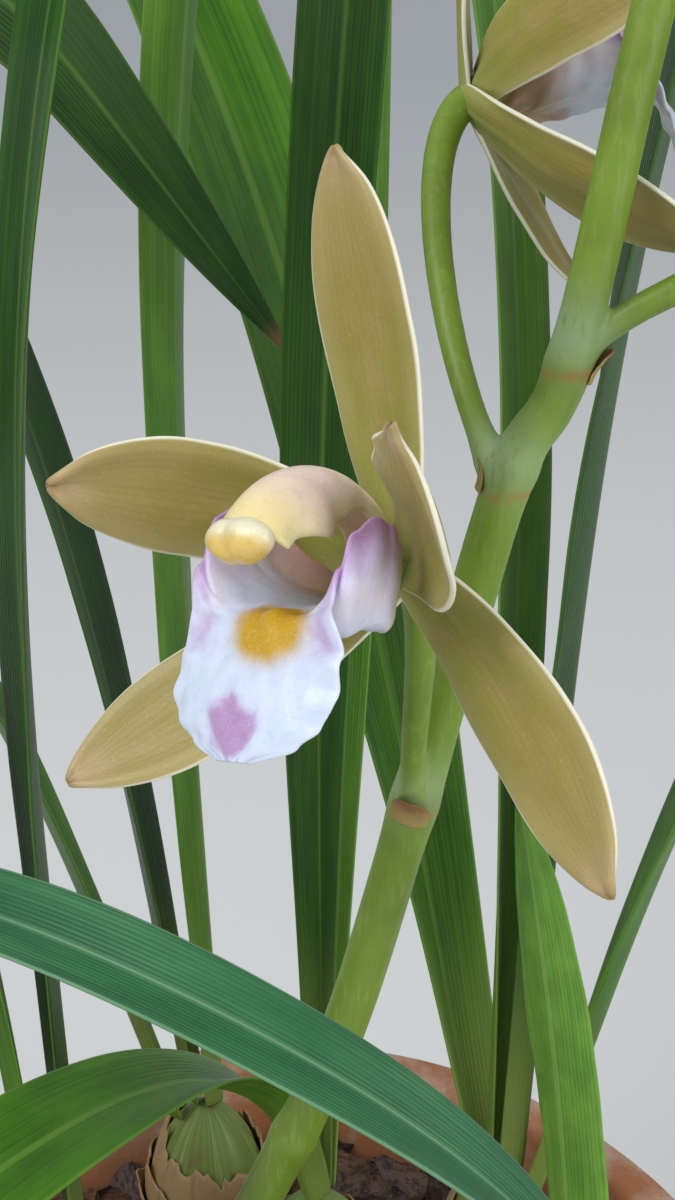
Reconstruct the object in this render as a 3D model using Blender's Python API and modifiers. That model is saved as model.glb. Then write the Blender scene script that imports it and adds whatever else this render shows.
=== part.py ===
"""A potted cymbidium orchid in flower, in metres with +Z up.

The origin is the middle of the pot's underside. The flower stalk leans towards +X, and the lowest
flower looks towards -Y, the front. Each flower is built in its own frame, in which it faces -Y and
its dorsal sepal points to +Z, and an empty turns it to its place on the stalk.
"""

import math

import bmesh
import bpy
from mathutils import Matrix, Vector, noise

MM = 0.001
CLEARANCE = 0.3 * MM
UP = Vector((0, 0, 1))
FORWARD = Vector((0, -1, 0))

# Pot: plain clay, with a rim band and a ring of drainage holes round a solid middle.
POT_HEIGHT = 150 * MM
POT_RIM_RADIUS = 90 * MM
POT_FOOT_RADIUS = 62 * MM
POT_WALL = 6 * MM
POT_FLOOR = 8 * MM
RIM_BAND_HEIGHT = 24 * MM
RIM_BAND_THICKNESS = 3.5 * MM
RIM_ROUNDING = 2.5 * MM
POT_STEPS = 36
DRAIN_HOLES = 5
DRAIN_RADIUS = 5 * MM
DRAIN_RING_RADIUS = 38 * MM

# Potting bark: it fills the pot to a little under the rim.
BARK_BELOW_RIM = 18 * MM
BARK_LUMP = 3 * MM
BARK_LUMP_SPACING = 11 * MM
BARK_RINGS = 6
BARK_TOP = POT_HEIGHT - BARK_BELOW_RIM

# Pseudobulbs: x and y of the middle, greatest radius and height above the bark, in millimetres.
BULBS = (
    (-34, 4, 13, 34),
    (8, 24, 14, 38),
    (43, 34, 13, 34),
    (-15, 57, 12, 30),
    (50, -34, 12.5, 30),
    (-54, 24, 11, 26),
)
BULB_BURIED = 8 * MM
BULB_SEGMENTS = 12
BULB_RINGS = 9

# Leaves: bulb, place in its fan (0 inner, 1 outer), heading and its drift along the leaf, lean
# and droop (degrees), the shares of the length where the droop begins and ends (a share beyond
# the leaf means that it bends all along), length and width (mm), and twist (degrees).
LEAVES = (
    (0, 0, 200, -10, 4, 70, 0.1, 1.2, 380, 15, -14),
    (0, 0, 20, 10, -1, 50, 0.2, 1.2, 370, 15, 12),
    (0, 1, 184, 0, 14, 84, 0.1, 1.1, 340, 15, 10),
    (1, 0, 64, 0, -1, 40, 0.1, 1.2, 410, 14, 10),
    (1, 0, 250, -30, 7, 100, -0.15, 0.63, 320, 19, -10),
    (1, 1, 78, 20, 6, 60, 0.1, 1.2, 400, 15, -8),
    (2, 1, 134, -4, 15, 64, 0.1, 1.25, 410, 32, 12),
    (2, 0, 330, 60, 2, 44, 0.2, 1.3, 390, 20, -12),
    (2, 0, 140, -10, 0, 44, 0.2, 1.2, 380, 15, 10),
    (2, 1, 335, 50, 12, 70, 0.1, 1.2, 350, 16, 10),
    (3, 0, 170, -8, 7, 56, 0.1, 1.2, 380, 18, 12),
    (3, 0, 350, -20, -2, 34, 0.2, 1.2, 380, 16, -10),
    (3, 1, 185, 8, 15, 76, 0.1, 1.1, 360, 15, 10),
    (4, 0, 187, -4, 2, 8, 0, 1, 130, 12, 60),
    (4, 0, 355, 10, 16, 76, 0.1, 1.1, 330, 15, 12),
    (4, 1, 345, -10, 30, 76, 0, 1, 300, 15, 10),
    (5, 0, 20, 0, -6, 150, 0.58, 0.84, 318, 24, 84),
    (5, 0, 192, -10, 10, 76, 0.1, 1.1, 340, 14, -12),
    (5, 1, 233, 170, 15, 190, 0.12, 1.17, 316, 12, 10),
)
LEAF_THICKNESS = 1.1 * MM
LEAF_ROWS = 12
LEAF_FIRST_OFFSET = LEAF_THICKNESS + 2.5 * MM
LEAF_NEXT_OFFSET = 3.4 * MM
LEAF_BASE_SHARE = 0.5
LEAF_SEAT = 0.5 * LEAF_THICKNESS - 0.05 * MM
LEAF_INNER_TUCK = 2.0 * MM
LEAF_OUTER_TUCK = LEAF_THICKNESS + 0.3 * MM
LEAF_FOLD_BASE = 50
LEAF_FOLD_BLADE = 16

# Flower stalk: points that it passes through, in millimetres, with heights above the bark, and
# its radius at foot and tip.
STALK_ROUTE = (
    (-19, -15, -7),
    (-16, -17, 25),
    (-9, -21, 58),
    (1.5, -25, 86),
    (12, -28, 115),
    (21, -31, 153),
    (30.4, -31, 193.5),
    (36.6, -30, 207),
    (43.7, -26, 243.5),
    (50, -22, 267),
    (56, -19, 289),
    (61, -17, 309),
    (64, -16, 325),
)
STALK_STEPS = 2
STALK_FOOT_RADIUS = 3.3 * MM
STALK_TIP_RADIUS = 1.4 * MM
TUBE_SIDES_RESOLUTION = 2

# Sheathing bracts on the stalk: share of the route where each starts, its length and heading.
STALK_BRACTS = ((0.09, 26 * MM, 200), (0.17, 25 * MM, 20))
BRACT_GAP = 0.5 * MM
BRACT_THICKNESS = 0.7 * MM

# Flowers: the route point that holds the pedicel, the flower's middle in millimetres with its
# height above the bark, yaw, pitch and roll, the heading in which the pedicel leaves the stalk,
# and how much further open than the lowest flower's its sepals are (all degrees).
FLOWERS = (
    (5, (18, -50, 192), -44, 10.5, -16.5, 255, 0),
    (6, (28, 3, 231), 84, 12, 4, 160, -4),
    (7, (66, -26, 221), 112, 8, 0, 10, 8),
)

# Buds: route point, its middle (mm, above the bark), radius and length (mm), and the heading in
# which its pedicel leaves the stalk.
BUDS = (
    (9, (35, -34, 283), 3.6, 17, 200),
    (10, (70, -11, 306), 3.2, 15, 20),
    (11, (51, -25, 326), 2.8, 13, 210),
    (12, (67, -14, 340), 2.3, 11, 60),
)
PEDICEL_RADIUS = 1.45 * MM
OVARY_RADIUS = 2.2 * MM
PEDICEL_STEPS = 8

# Sepals and petals: clock is the direction in the flower's plane (0 up, 90 its right as seen from
# the front) and drift how far it turns along the tepal; sweep is the first angle forward out of
# that plane, and curl how much more it turns. Then length and width in millimetres, and cup, the
# angle at the edge (the angles all in degrees).
TEPALS = {
    "dorsal_sepal": (-0.5, 0, 3, 8, 39.5, 12.2, 16),
    "right_sepal": (129, 16, 5, 10, 38.5, 11.8, 14),
    "left_sepal": (-122, -6, 19, 30, 40.5, 12.2, 18),
    "right_petal": (76, -32, 36, 14, 34, 12.4, 26),
    "left_petal": (-57, -16, 20, 54, 35, 12.8, 22),
}
TEPAL_THICKNESS = 0.9 * MM
TEPAL_ROWS = 8
TEPAL_COLUMNS = 4
TEPAL_START = 1.9 * MM
TEPAL_BASE_SHARE = 0.40
TEPAL_WIDEST_AT = 0.60
SEPAL_SETBACK = 0.6 * MM
PETAL_ADVANCE = 0.75 * MM

# Lip: its midline runs forward under the column and then hangs down. Each station gives the share
# of the length, the half width (mm) and how far the section curls up at its edge (degrees).
LIP_LENGTH = 30 * MM
LIP_AHEAD = 3.0 * MM
LIP_BELOW = 2.8 * MM
LIP_THICKNESS = 0.8 * MM
LIP_STATIONS = (
    (0.00, 2.2, 40),
    (0.08, 5.0, 70),
    (0.16, 11.0, 95),
    (0.24, 14.6, 102),
    (0.32, 15.6, 104),
    (0.40, 14.4, 96),
    (0.48, 11.2, 66),
    (0.56, 9.2, 30),
    (0.66, 9.6, 0),
    (0.78, 10.4, -16),
    (0.88, 9.2, -22),
    (0.95, 6.8, -24),
    (1.00, 3.0, -20),
)
LIP_BEND = ((0.0, -6), (0.3, 4), (0.5, -10), (0.66, -52), (1.0, -80))
LIP_ROWS = 12
LIP_COLUMNS = 8

# Column: a hooded half tube that arches forward over the lip, with the anther cap at its end.
COLUMN_LENGTH = 23 * MM
COLUMN_HALF_WIDTH = 5.2 * MM
COLUMN_RISE = 64
COLUMN_BEND = -116
COLUMN_CUP = 80
COLUMN_AHEAD = 2.8 * MM
COLUMN_ABOVE = 3.4 * MM
COLUMN_THICKNESS = 1.3 * MM
COLUMN_ROWS = 7
COLUMN_COLUMNS = 6
CAP_HALF_SIZE = (4.6 * MM, 2.0 * MM, 2.2 * MM)
CAP_REACH = 2.3 * MM

# Colours: base colour and roughness of each finish.
FINISHES = {
    "clay": ((0.60, 0.29, 0.17), 0.85),
    "bark": ((0.20, 0.12, 0.08), 0.95),
    "bulb": ((0.32, 0.42, 0.14), 0.50),
    "leaf": ((0.10, 0.30, 0.06), 0.40),
    "stalk": ((0.38, 0.52, 0.14), 0.45),
    "bract": ((0.46, 0.50, 0.22), 0.55),
    "tepal": ((0.62, 0.56, 0.28), 0.50),
    "lip": ((0.88, 0.82, 0.90), 0.45),
    "column": ((0.82, 0.68, 0.42), 0.45),
    "cap": ((0.90, 0.68, 0.24), 0.40),
}


def clear_scene():
    for obj in list(bpy.data.objects):
        bpy.data.objects.remove(obj, do_unlink=True)


def new_collection(name):
    collection = bpy.data.collections.new(name)
    bpy.context.scene.collection.children.link(collection)
    return collection


def make_finishes():
    finishes = {}
    for name, (colour, roughness) in FINISHES.items():
        material = bpy.data.materials.new(name)
        material.use_nodes = True
        shader = material.node_tree.nodes["Principled BSDF"]
        shader.inputs["Base Color"].default_value = (*colour, 1)
        shader.inputs["Roughness"].default_value = roughness
        shader.inputs["Metallic"].default_value = 0
        finishes[name] = material
    return finishes


def add_object(name, data, finish, parent=None):
    obj = bpy.data.objects.new(name, data)
    PLANT.objects.link(obj)
    if finish:
        data.materials.append(MATERIALS[finish])
    obj.parent = parent
    return obj


def mesh_from(bm, name):
    mesh = bpy.data.meshes.new(name)
    bm.to_mesh(mesh)
    bm.free()
    mesh.shade_smooth()
    return mesh


def ease(share):
    """0 to 1 with a soft start and end, as the share goes from 0 to 1."""
    share = max(0.0, min(1.0, share))
    return share * share * (3 - 2 * share)


def blend(stations, share):
    """The values at `share`, between rows of (share, value, ...) that are joined by smooth steps."""
    for before, after in zip(stations, stations[1:]):
        if share <= after[0]:
            step = ease((share - before[0]) / (after[0] - before[0]))
            return [a + (b - a) * step for a, b in zip(before[1:], after[1:])]
    return list(stations[-1][1:])


def midrib(start, length, axes_at, angle_at, twist_at, steps):
    """Places along a midrib, each (point, side, normal). It heads from axis A towards axis B by the
    angle at each share of its length, and its blade turns about it by the twist."""
    places, point = [], Vector(start)
    for step in range(steps + 1):
        share = step / steps
        first, second = axes_at(share)
        angle = math.radians(angle_at(share))
        along = math.cos(angle) * first + math.sin(angle) * second
        normal = math.cos(angle) * second - math.sin(angle) * first
        turn = Matrix.Rotation(math.radians(twist_at(share)), 3, along)
        if step:
            point = point + (along + last_along).normalized() * (length / steps)
        last_along = along
        places.append((point.copy(), turn @ along.cross(normal), turn @ normal))
    return places


def blade(name, places, section_at, rows, columns, thickness, finish, parent=None):
    """A sheet of that thickness along a midrib. section_at(share, across) gives how far a point at
    `across`, from -1 to 1, lies to the side of the midrib and along its normal."""
    bm = bmesh.new()
    bmesh.ops.create_grid(bm, x_segments=columns, y_segments=rows, size=1)
    last = len(places) - 1
    for vertex in bm.verts:
        across, share = vertex.co.x, (vertex.co.y + 1) / 2
        point, side, normal = places[round(share * last)]
        aside, lift = section_at(share, across)
        vertex.co = point + side * aside + normal * lift
    obj = add_object(name, mesh_from(bm, name), finish, parent)
    sheet = obj.modifiers.new("Thickness", "SOLIDIFY")
    sheet.thickness = thickness
    sheet.offset = 0
    return obj


def arc_section(half_width, edge_angle, across):
    """A point on an arc of that half width, whose edges stand at edge_angle to its middle."""
    angle = math.radians(edge_angle)
    if abs(angle) < 0.02:
        return half_width * across, 0.0
    radius = half_width / angle
    return radius * math.sin(angle * across), radius * (1 - math.cos(angle * across))


def petal_outline(share, base_share, widest_at):
    """The share of a sepal's or petal's half width at a share of its length."""
    if share < widest_at:
        rise = math.sin(math.pi / 2 * share / widest_at)
        return base_share + (1 - base_share) * rise
    fall = (share - widest_at) / (1 - widest_at)
    return max(0.08, (1 - fall**2.2) ** 0.76)


def smooth_route(points, steps):
    """A curve through the points, with that many steps between neighbours (Catmull-Rom)."""
    ends = [2 * points[0] - points[1], *points, 2 * points[-1] - points[-2]]
    route = []
    for a, b, c, d in zip(ends, ends[1:], ends[2:], ends[3:]):
        for step in range(steps):
            t = step / steps
            linear, square, cube = c - a, 2 * a - 5 * b + 4 * c - d, 3 * (b - c) + d - a
            route.append(b + 0.5 * (linear * t + square * t**2 + cube * t**3))
    return route + [points[-1].copy()]


def tube(name, points, radii, finish, parent=None):
    curve = bpy.data.curves.new(name, "CURVE")
    curve.dimensions = "3D"
    curve.bevel_depth = 1.0
    curve.bevel_resolution = TUBE_SIDES_RESOLUTION
    curve.use_fill_caps = True
    spline = curve.splines.new("POLY")
    spline.points.add(len(points) - 1)
    for place, point, radius in zip(spline.points, points, radii):
        place.co = (*point, 1)
        place.radius = radius
    return add_object(name, curve, finish, parent)


def turned(name, profile, steps, finish):
    """A solid turned about Z from a profile of (radius, height) points that starts and ends on the
    axis and runs down its outer side."""
    bm = bmesh.new()
    verts = [bm.verts.new((radius, 0, height)) for radius, height in profile]
    for a, b in zip(verts, verts[1:]):
        bm.edges.new((a, b))
    obj = add_object(name, mesh_from(bm, name), finish)
    screw = obj.modifiers.new("Turn", "SCREW")
    screw.steps = screw.render_steps = steps
    screw.use_merge_vertices = True
    screw.merge_threshold = 0.00001
    return obj


def cut(obj, cutter):
    """Cuts one object's shape from another, and keeps the cutter out of the render."""
    PLANT.objects.unlink(cutter)
    CUTTERS.objects.link(cutter)
    cutter.hide_render = True
    cutter.display_type = "WIRE"
    boolean = obj.modifiers.new("Cut", "BOOLEAN")
    boolean.object = cutter


def inner_radius(height):
    """The pot's inner radius at a height."""
    share = (height - POT_FLOOR) / (POT_HEIGHT - POT_FLOOR)
    foot = POT_FOOT_RADIUS - POT_WALL
    return foot + (POT_RIM_RADIUS - RIM_BAND_THICKNESS - POT_WALL - foot) * share


def make_pot():
    band_foot = POT_HEIGHT - RIM_BAND_HEIGHT
    wall_at_band = inner_radius(band_foot) + POT_WALL
    corner = RIM_ROUNDING * (1 - math.sqrt(0.5))
    profile = [
        (0, POT_FLOOR),
        (inner_radius(POT_FLOOR), POT_FLOOR),
        (inner_radius(POT_HEIGHT), POT_HEIGHT - RIM_ROUNDING),
        (inner_radius(POT_HEIGHT) + corner, POT_HEIGHT - corner),
        (inner_radius(POT_HEIGHT) + RIM_ROUNDING, POT_HEIGHT),
        (POT_RIM_RADIUS - RIM_ROUNDING, POT_HEIGHT),
        (POT_RIM_RADIUS - corner, POT_HEIGHT - corner),
        (POT_RIM_RADIUS, POT_HEIGHT - RIM_ROUNDING),
        (POT_RIM_RADIUS - 0.5 * RIM_BAND_THICKNESS, band_foot),
        (wall_at_band, band_foot - 0.5 * RIM_BAND_THICKNESS),
        (POT_FOOT_RADIUS, 0),
        (0, 0),
    ]
    pot = turned("pot", profile, POT_STEPS, "clay")
    for hole in range(DRAIN_HOLES):
        angle = 2 * math.pi * hole / DRAIN_HOLES + math.pi / 2
        bm = bmesh.new()
        bmesh.ops.create_cone(
            bm,
            cap_ends=True,
            segments=12,
            radius1=DRAIN_RADIUS,
            radius2=DRAIN_RADIUS,
            depth=3 * POT_FLOOR,
        )
        name = f"drain_cutter_{hole + 1}"
        drain = add_object(name, mesh_from(bm, name), None)
        drain.location = (
            DRAIN_RING_RADIUS * math.cos(angle),
            DRAIN_RING_RADIUS * math.sin(angle),
            POT_FLOOR / 2,
        )
        cut(pot, drain)
    return pot


def make_bark():
    """The potting bark: a turned plug whose top rings are raised and lowered into lumps."""
    edge = inner_radius(BARK_TOP) - 4 * CLEARANCE
    foot = POT_FLOOR + CLEARANCE
    rings = [(edge * ring / BARK_RINGS, BARK_TOP) for ring in range(BARK_RINGS + 1)]
    profile = [*rings, (inner_radius(foot) - 4 * CLEARANCE, foot), (0, foot)]
    plug = turned("bark_plug", profile, POT_STEPS, None)
    graph = bpy.context.evaluated_depsgraph_get()
    mesh = bpy.data.meshes.new_from_object(plug.evaluated_get(graph))
    bpy.data.objects.remove(plug)
    for vertex in mesh.vertices:
        if vertex.co.z > BARK_TOP - CLEARANCE:
            place = Vector((vertex.co.x, vertex.co.y, 0)) / BARK_LUMP_SPACING
            vertex.co.z += BARK_LUMP * noise.noise(place)
    mesh.name = "bark_bed"
    return add_object("bark_bed", mesh, "bark")


def bulb_radius(share, radius):
    """Radius of an egg-shaped bulb at a share of its height, with its widest part low down."""
    return radius * math.sin(math.pi * share**0.78) ** 0.62 if 0 < share < 1 else 0.0


def bulb_mesh(name, radius, height, growth=0.0):
    total = height + BULB_BURIED
    profile = []
    for ring in range(BULB_RINGS + 1):
        share = 1 - ring / BULB_RINGS
        spread = growth * (2 * share - 1)
        wide = bulb_radius(share, radius)
        profile.append((wide + growth if wide else 0, total * share - BULB_BURIED + spread))
    return turned(name, profile, BULB_SEGMENTS, None if growth else "bulb")


def make_bulbs(bark):
    for number, (x, y, radius, height) in enumerate(BULBS, 1):
        spot = (x * MM, y * MM, BARK_TOP)
        bulb = bulb_mesh(f"pseudobulb_{number}", radius * MM, height * MM)
        bulb.location = spot
        socket = bulb_mesh(f"bulb_socket_{number}", radius * MM, height * MM, CLEARANCE * 2)
        socket.location = spot
        cut(bark, socket)


def bulb_shoulder(radius, height, offset):
    """Height above the bark of a bulb's upper surface, at an offset from its axis."""
    total = height + BULB_BURIED
    for step in range(200, 0, -1):
        if bulb_radius(step / 200, radius) > offset:
            return total * step / 200 - BULB_BURIED
    return height


def leaf_outline(share):
    """Share of the half width: a narrow foot, widest before the middle, and a long fine tip."""
    wide = LEAF_BASE_SHARE + (1 - LEAF_BASE_SHARE) * ease(share / 0.38)
    if share < 0.55:
        return wide
    return wide * max(0.07, (1 - ((share - 0.55) / 0.45) ** 2.0) ** 0.9)


def make_leaf(number, row):
    bulb, rank, heading, drift, lean, droop, early, late, length, width, twist = row
    x, y, radius, height = (value * MM for value in BULBS[bulb])
    out = Vector((math.cos(math.radians(heading)), math.sin(math.radians(heading)), 0))
    offset = LEAF_FIRST_OFFSET + LEAF_NEXT_OFFSET * rank
    tuck = LEAF_OUTER_TUCK if rank else LEAF_INNER_TUCK
    shoulder = bulb_shoulder(radius, height, max(0.0, offset - tuck))
    start = Vector((x, y, BARK_TOP + shoulder + LEAF_SEAT)) + out * offset
    half_width = width * MM / 2

    def axes_at(share):
        angle = math.radians(heading + drift * share)
        return UP, Vector((math.cos(angle), math.sin(angle), 0))

    def section_at(share, across):
        wide = half_width * leaf_outline(share)
        flat = min(1.0, share / 0.3)
        fold = math.radians(LEAF_FOLD_BASE + (LEAF_FOLD_BLADE - LEAF_FOLD_BASE) * flat)
        return wide * across * math.cos(fold), -wide * abs(across) * math.sin(fold)

    places = midrib(
        start,
        length * MM,
        axes_at,
        lambda share: lean + droop * ease((share - early) / (late - early)),
        lambda share: twist * share,
        LEAF_ROWS * 4,
    )
    blade(f"leaf_{number:02d}", places, section_at, LEAF_ROWS, 2, LEAF_THICKNESS, "leaf")


def stalk_radius(share):
    return STALK_FOOT_RADIUS + (STALK_TIP_RADIUS - STALK_FOOT_RADIUS) * share**1.6


def above_bark(place):
    """A point from millimetres, with its height taken from the bark."""
    x, y, height = place
    return Vector((x * MM, y * MM, BARK_TOP + height * MM))


def solid_tube(name, points, radii, finish):
    """A closed tube through the points, as a mesh, so that other tubes can be joined to it."""
    curve = tube(name, points, radii, finish)
    graph = bpy.context.evaluated_depsgraph_get()
    mesh = bpy.data.meshes.new_from_object(curve.evaluated_get(graph))
    bpy.data.objects.remove(curve)
    bm = bmesh.new()
    bm.from_mesh(mesh)
    bmesh.ops.remove_doubles(bm, verts=bm.verts, dist=0.01 * MM)
    bmesh.ops.recalc_face_normals(bm, faces=bm.faces)
    bm.to_mesh(mesh)
    bm.free()
    mesh.name = name
    solid = bpy.data.objects.new(name, mesh)
    PLANT.objects.link(solid)
    return solid


def join_to(obj, branch):
    """Joins a branch's solid to an object that it grows from, and keeps it out of the render."""
    PLANT.objects.unlink(branch)
    CUTTERS.objects.link(branch)
    branch.hide_render = True
    branch.display_type = "WIRE"
    boolean = obj.modifiers.new("Join", "BOOLEAN")
    boolean.operation = "UNION"
    boolean.object = branch


def make_stalk(bark):
    points = smooth_route([above_bark(place) for place in STALK_ROUTE], STALK_STEPS)
    radii = [stalk_radius(i / (len(points) - 1)) for i in range(len(points))]
    stalk = solid_tube("flower_stalk", points, radii, "stalk")
    bm = bmesh.new()
    bmesh.ops.create_cone(
        bm,
        cap_ends=True,
        segments=12,
        radius1=STALK_FOOT_RADIUS + 4 * CLEARANCE,
        radius2=STALK_FOOT_RADIUS + 4 * CLEARANCE,
        depth=30 * MM,
    )
    socket = add_object("stalk_socket", mesh_from(bm, "stalk_socket"), None)
    lean = (points[1] - points[0]).normalized()
    socket.rotation_mode = "QUATERNION"
    socket.rotation_quaternion = lean.to_track_quat("Z", "Y")
    socket.location = points[0] + lean * (15 * MM - CLEARANCE)
    cut(bark, socket)
    return stalk, points


def make_bracts(points):
    last = len(points) - 1
    for number, (share, length, heading) in enumerate(STALK_BRACTS, 1):
        first = round(share * last)
        along = (points[first + 2] - points[first]).normalized()
        out = heading_vector(heading)
        out = (out - along * out.dot(along)).normalized()
        radius = stalk_radius(share) + BRACT_GAP + BRACT_THICKNESS
        places = midrib(
            points[first] + out * radius,
            length,
            lambda _, along=along, out=out: (along, out),
            lambda share: 14 * share,
            lambda _: 0.0,
            6 * 4,
        )

        def section_at(share, across, radius=radius):
            wide = math.radians(118) * radius * petal_outline(share, 0.95, 0.3)
            aside, lift = arc_section(wide, 118 * (1 - 0.45 * share), across)
            return aside, -lift

        blade(f"stalk_bract_{number}", places, section_at, 6, 6, BRACT_THICKNESS, "bract")


def make_pedicel(name, stalk, place, heading, end, end_pull, end_radius):
    """A flower's or bud's own stem: it starts inside the stalk, leaves it upwards, and swells."""
    node = above_bark(STALK_ROUTE[place])
    out = heading_vector(heading)
    reach = (end - node).length
    start_pull = (out + UP * 1.4).normalized() * reach * 0.8
    points = hermite(node, start_pull, end, end_pull * reach * 0.6, PEDICEL_STEPS)
    swell = end_radius - PEDICEL_RADIUS
    shares = [i / PEDICEL_STEPS for i in range(PEDICEL_STEPS + 1)]
    radii = [PEDICEL_RADIUS + swell * share**1.5 for share in shares]
    join_to(stalk, solid_tube(name, points, radii, None))


def hermite(start, start_pull, end, end_pull, steps):
    points = []
    for step in range(steps + 1):
        t = step / steps
        points.append(
            start * (2 * t**3 - 3 * t**2 + 1)
            + start_pull * (t**3 - 2 * t**2 + t)
            + end * (3 * t**2 - 2 * t**3)
            + end_pull * (t**3 - t**2)
        )
    return points


def heading_vector(degrees, rise=0.0):
    angle = math.radians(degrees)
    return Vector((math.cos(angle), math.sin(angle), rise)).normalized()


def make_tepal(name, holder, spec, is_petal, opening):
    clock, drift, sweep, curl, length, width, cup = spec
    sweep -= 0 if is_petal else opening

    def axes_at(share):
        angle = math.radians(clock + drift * share)
        return Vector((math.sin(angle), 0, math.cos(angle))), FORWARD

    def section_at(share, across):
        wide = width * MM / 2 * petal_outline(share, TEPAL_BASE_SHARE, TEPAL_WIDEST_AT)
        return arc_section(wide, cup, across)

    first = axes_at(0)[0] * TEPAL_START
    start = first + FORWARD * (PETAL_ADVANCE if is_petal else -SEPAL_SETBACK)
    places = midrib(
        start,
        length * MM,
        axes_at,
        lambda share: sweep + curl * share,
        lambda _: 0.0,
        TEPAL_ROWS * 4,
    )
    rows, columns = TEPAL_ROWS, TEPAL_COLUMNS
    blade(name, places, section_at, rows, columns, TEPAL_THICKNESS, "tepal", holder)


def make_lip(name, holder):

    def section_at(share, across):
        half_width, edge_angle = blend(LIP_STATIONS, share)
        return arc_section(half_width * MM, edge_angle, across)

    places = midrib(
        FORWARD * LIP_AHEAD - UP * LIP_BELOW,
        LIP_LENGTH,
        lambda _: (FORWARD, UP),
        lambda share: blend(LIP_BEND, share)[0],
        lambda _: 0.0,
        LIP_ROWS * 4,
    )
    blade(name, places, section_at, LIP_ROWS, LIP_COLUMNS, LIP_THICKNESS, "lip", holder)


def make_column(name, cap_name, holder):
    places = midrib(
        FORWARD * COLUMN_AHEAD + UP * COLUMN_ABOVE,
        COLUMN_LENGTH,
        lambda _: (FORWARD, UP),
        lambda share: COLUMN_RISE + COLUMN_BEND * share,
        lambda _: 0.0,
        COLUMN_ROWS * 4,
    )

    def section_at(share, across):
        wide = COLUMN_HALF_WIDTH * (0.62 + 0.38 * math.sin(math.pi / 2 * share))
        aside, lift = arc_section(wide, COLUMN_CUP, across)
        return aside, -lift

    rows, columns = COLUMN_ROWS, COLUMN_COLUMNS
    blade(name, places, section_at, rows, columns, COLUMN_THICKNESS, "column", holder)
    add_cap(cap_name, holder, places[-1])


def add_cap(name, holder, column_tip):
    """The anther cap, a rounded button that hangs just clear of the column's end."""
    tip, side, normal = column_tip
    along = normal.cross(side)
    half_width, half_length, half_height = CAP_HALF_SIZE
    bm = bmesh.new()
    bmesh.ops.create_uvsphere(bm, u_segments=12, v_segments=7, radius=1)
    for vertex in bm.verts:
        x, y, z = vertex.co
        vertex.co = tip + along * (CAP_REACH + x * half_length)
        vertex.co += side * (y * half_width) + normal * (z - 0.7) * half_height
    if bm.calc_volume(signed=True) < 0:
        bmesh.ops.reverse_faces(bm, faces=bm.faces)
    add_object(name, mesh_from(bm, name), "cap", holder)


def make_flower(number, spec, stalk):
    place, middle, yaw, pitch, roll, heading, opening = spec
    holder = bpy.data.objects.new(f"flower_{number}", None)
    PLANT.objects.link(holder)
    middle = above_bark(middle)
    turn = (
        Matrix.Rotation(math.radians(yaw), 3, "Z")
        @ Matrix.Rotation(math.radians(-pitch), 3, "X")
        @ Matrix.Rotation(math.radians(roll), 3, "Y")
    )
    holder.matrix_world = Matrix.Translation(middle) @ turn.to_4x4()
    for part, tepal in TEPALS.items():
        is_petal = part.endswith("petal")
        make_tepal(f"flower_{number}_{part}", holder, tepal, is_petal, opening)
    make_lip(f"flower_{number}_lip", holder)
    make_column(f"flower_{number}_column", f"flower_{number}_anther_cap", holder)
    facing = turn @ FORWARD
    behind = SEPAL_SETBACK + TEPAL_THICKNESS / 2 + 1.5 * CLEARANCE
    name = f"flower_{number}_pedicel"
    make_pedicel(name, stalk, place, heading, middle - facing * behind, facing, OVARY_RADIUS)


def make_bud(number, spec, stalk):
    """A closed bud: a tube that swells and closes, standing on the end of its own stem."""
    place, middle, radius, length, heading = spec
    middle = above_bark(middle)
    out = heading_vector(heading)
    along = (out * 0.5 + UP).normalized()
    half = along * length * MM / 2
    points, radii = [], []
    for index in range(9):
        share = index / 8
        points.append(middle + half * (2 * share - 1) + out * (share - share**2) * 2 * MM)
        radii.append(radius * MM * max(0.16, math.sin(math.pi * share**0.8) ** 0.7))
    tube(f"bud_{number}", points, radii, "tepal")
    end = middle - half - along * CLEARANCE
    make_pedicel(f"bud_{number}_pedicel", stalk, place, heading, end, along, PEDICEL_RADIUS)


def build():
    make_pot()
    bark = make_bark()
    make_bulbs(bark)
    for number, row in enumerate(LEAVES, 1):
        make_leaf(number, row)
    stalk, route = make_stalk(bark)
    make_bracts(route)
    for number, spec in enumerate(FLOWERS, 1):
        make_flower(number, spec, stalk)
    for number, spec in enumerate(BUDS, 1):
        make_bud(number, spec, stalk)
    stalk.data.materials.clear()
    stalk.data.materials.append(MATERIALS["stalk"])


clear_scene()
PLANT = new_collection("potted_orchid")
CUTTERS = new_collection("cutters")
CUTTERS.hide_render = True
MATERIALS = make_finishes()
build()
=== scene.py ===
# %% [markdown]
# # A potted cymbidium in flower
# The plant is one rigid body, loaded from model.glb: a clay pot, a bed of bark, six pseudobulbs,
# nineteen strap leaves and one leaning stalk with three open flowers and four buds. Every one of
# those solids is only a stand-in for space, so each is given a finished piece here, with the
# thin edges, veins, waves and colours that a living orchid has. The solids are loaded first,
# because they say where everything is.

# %% Load the frame
import math
import random

import bpy
from mathutils import Matrix, Vector, noise


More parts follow.
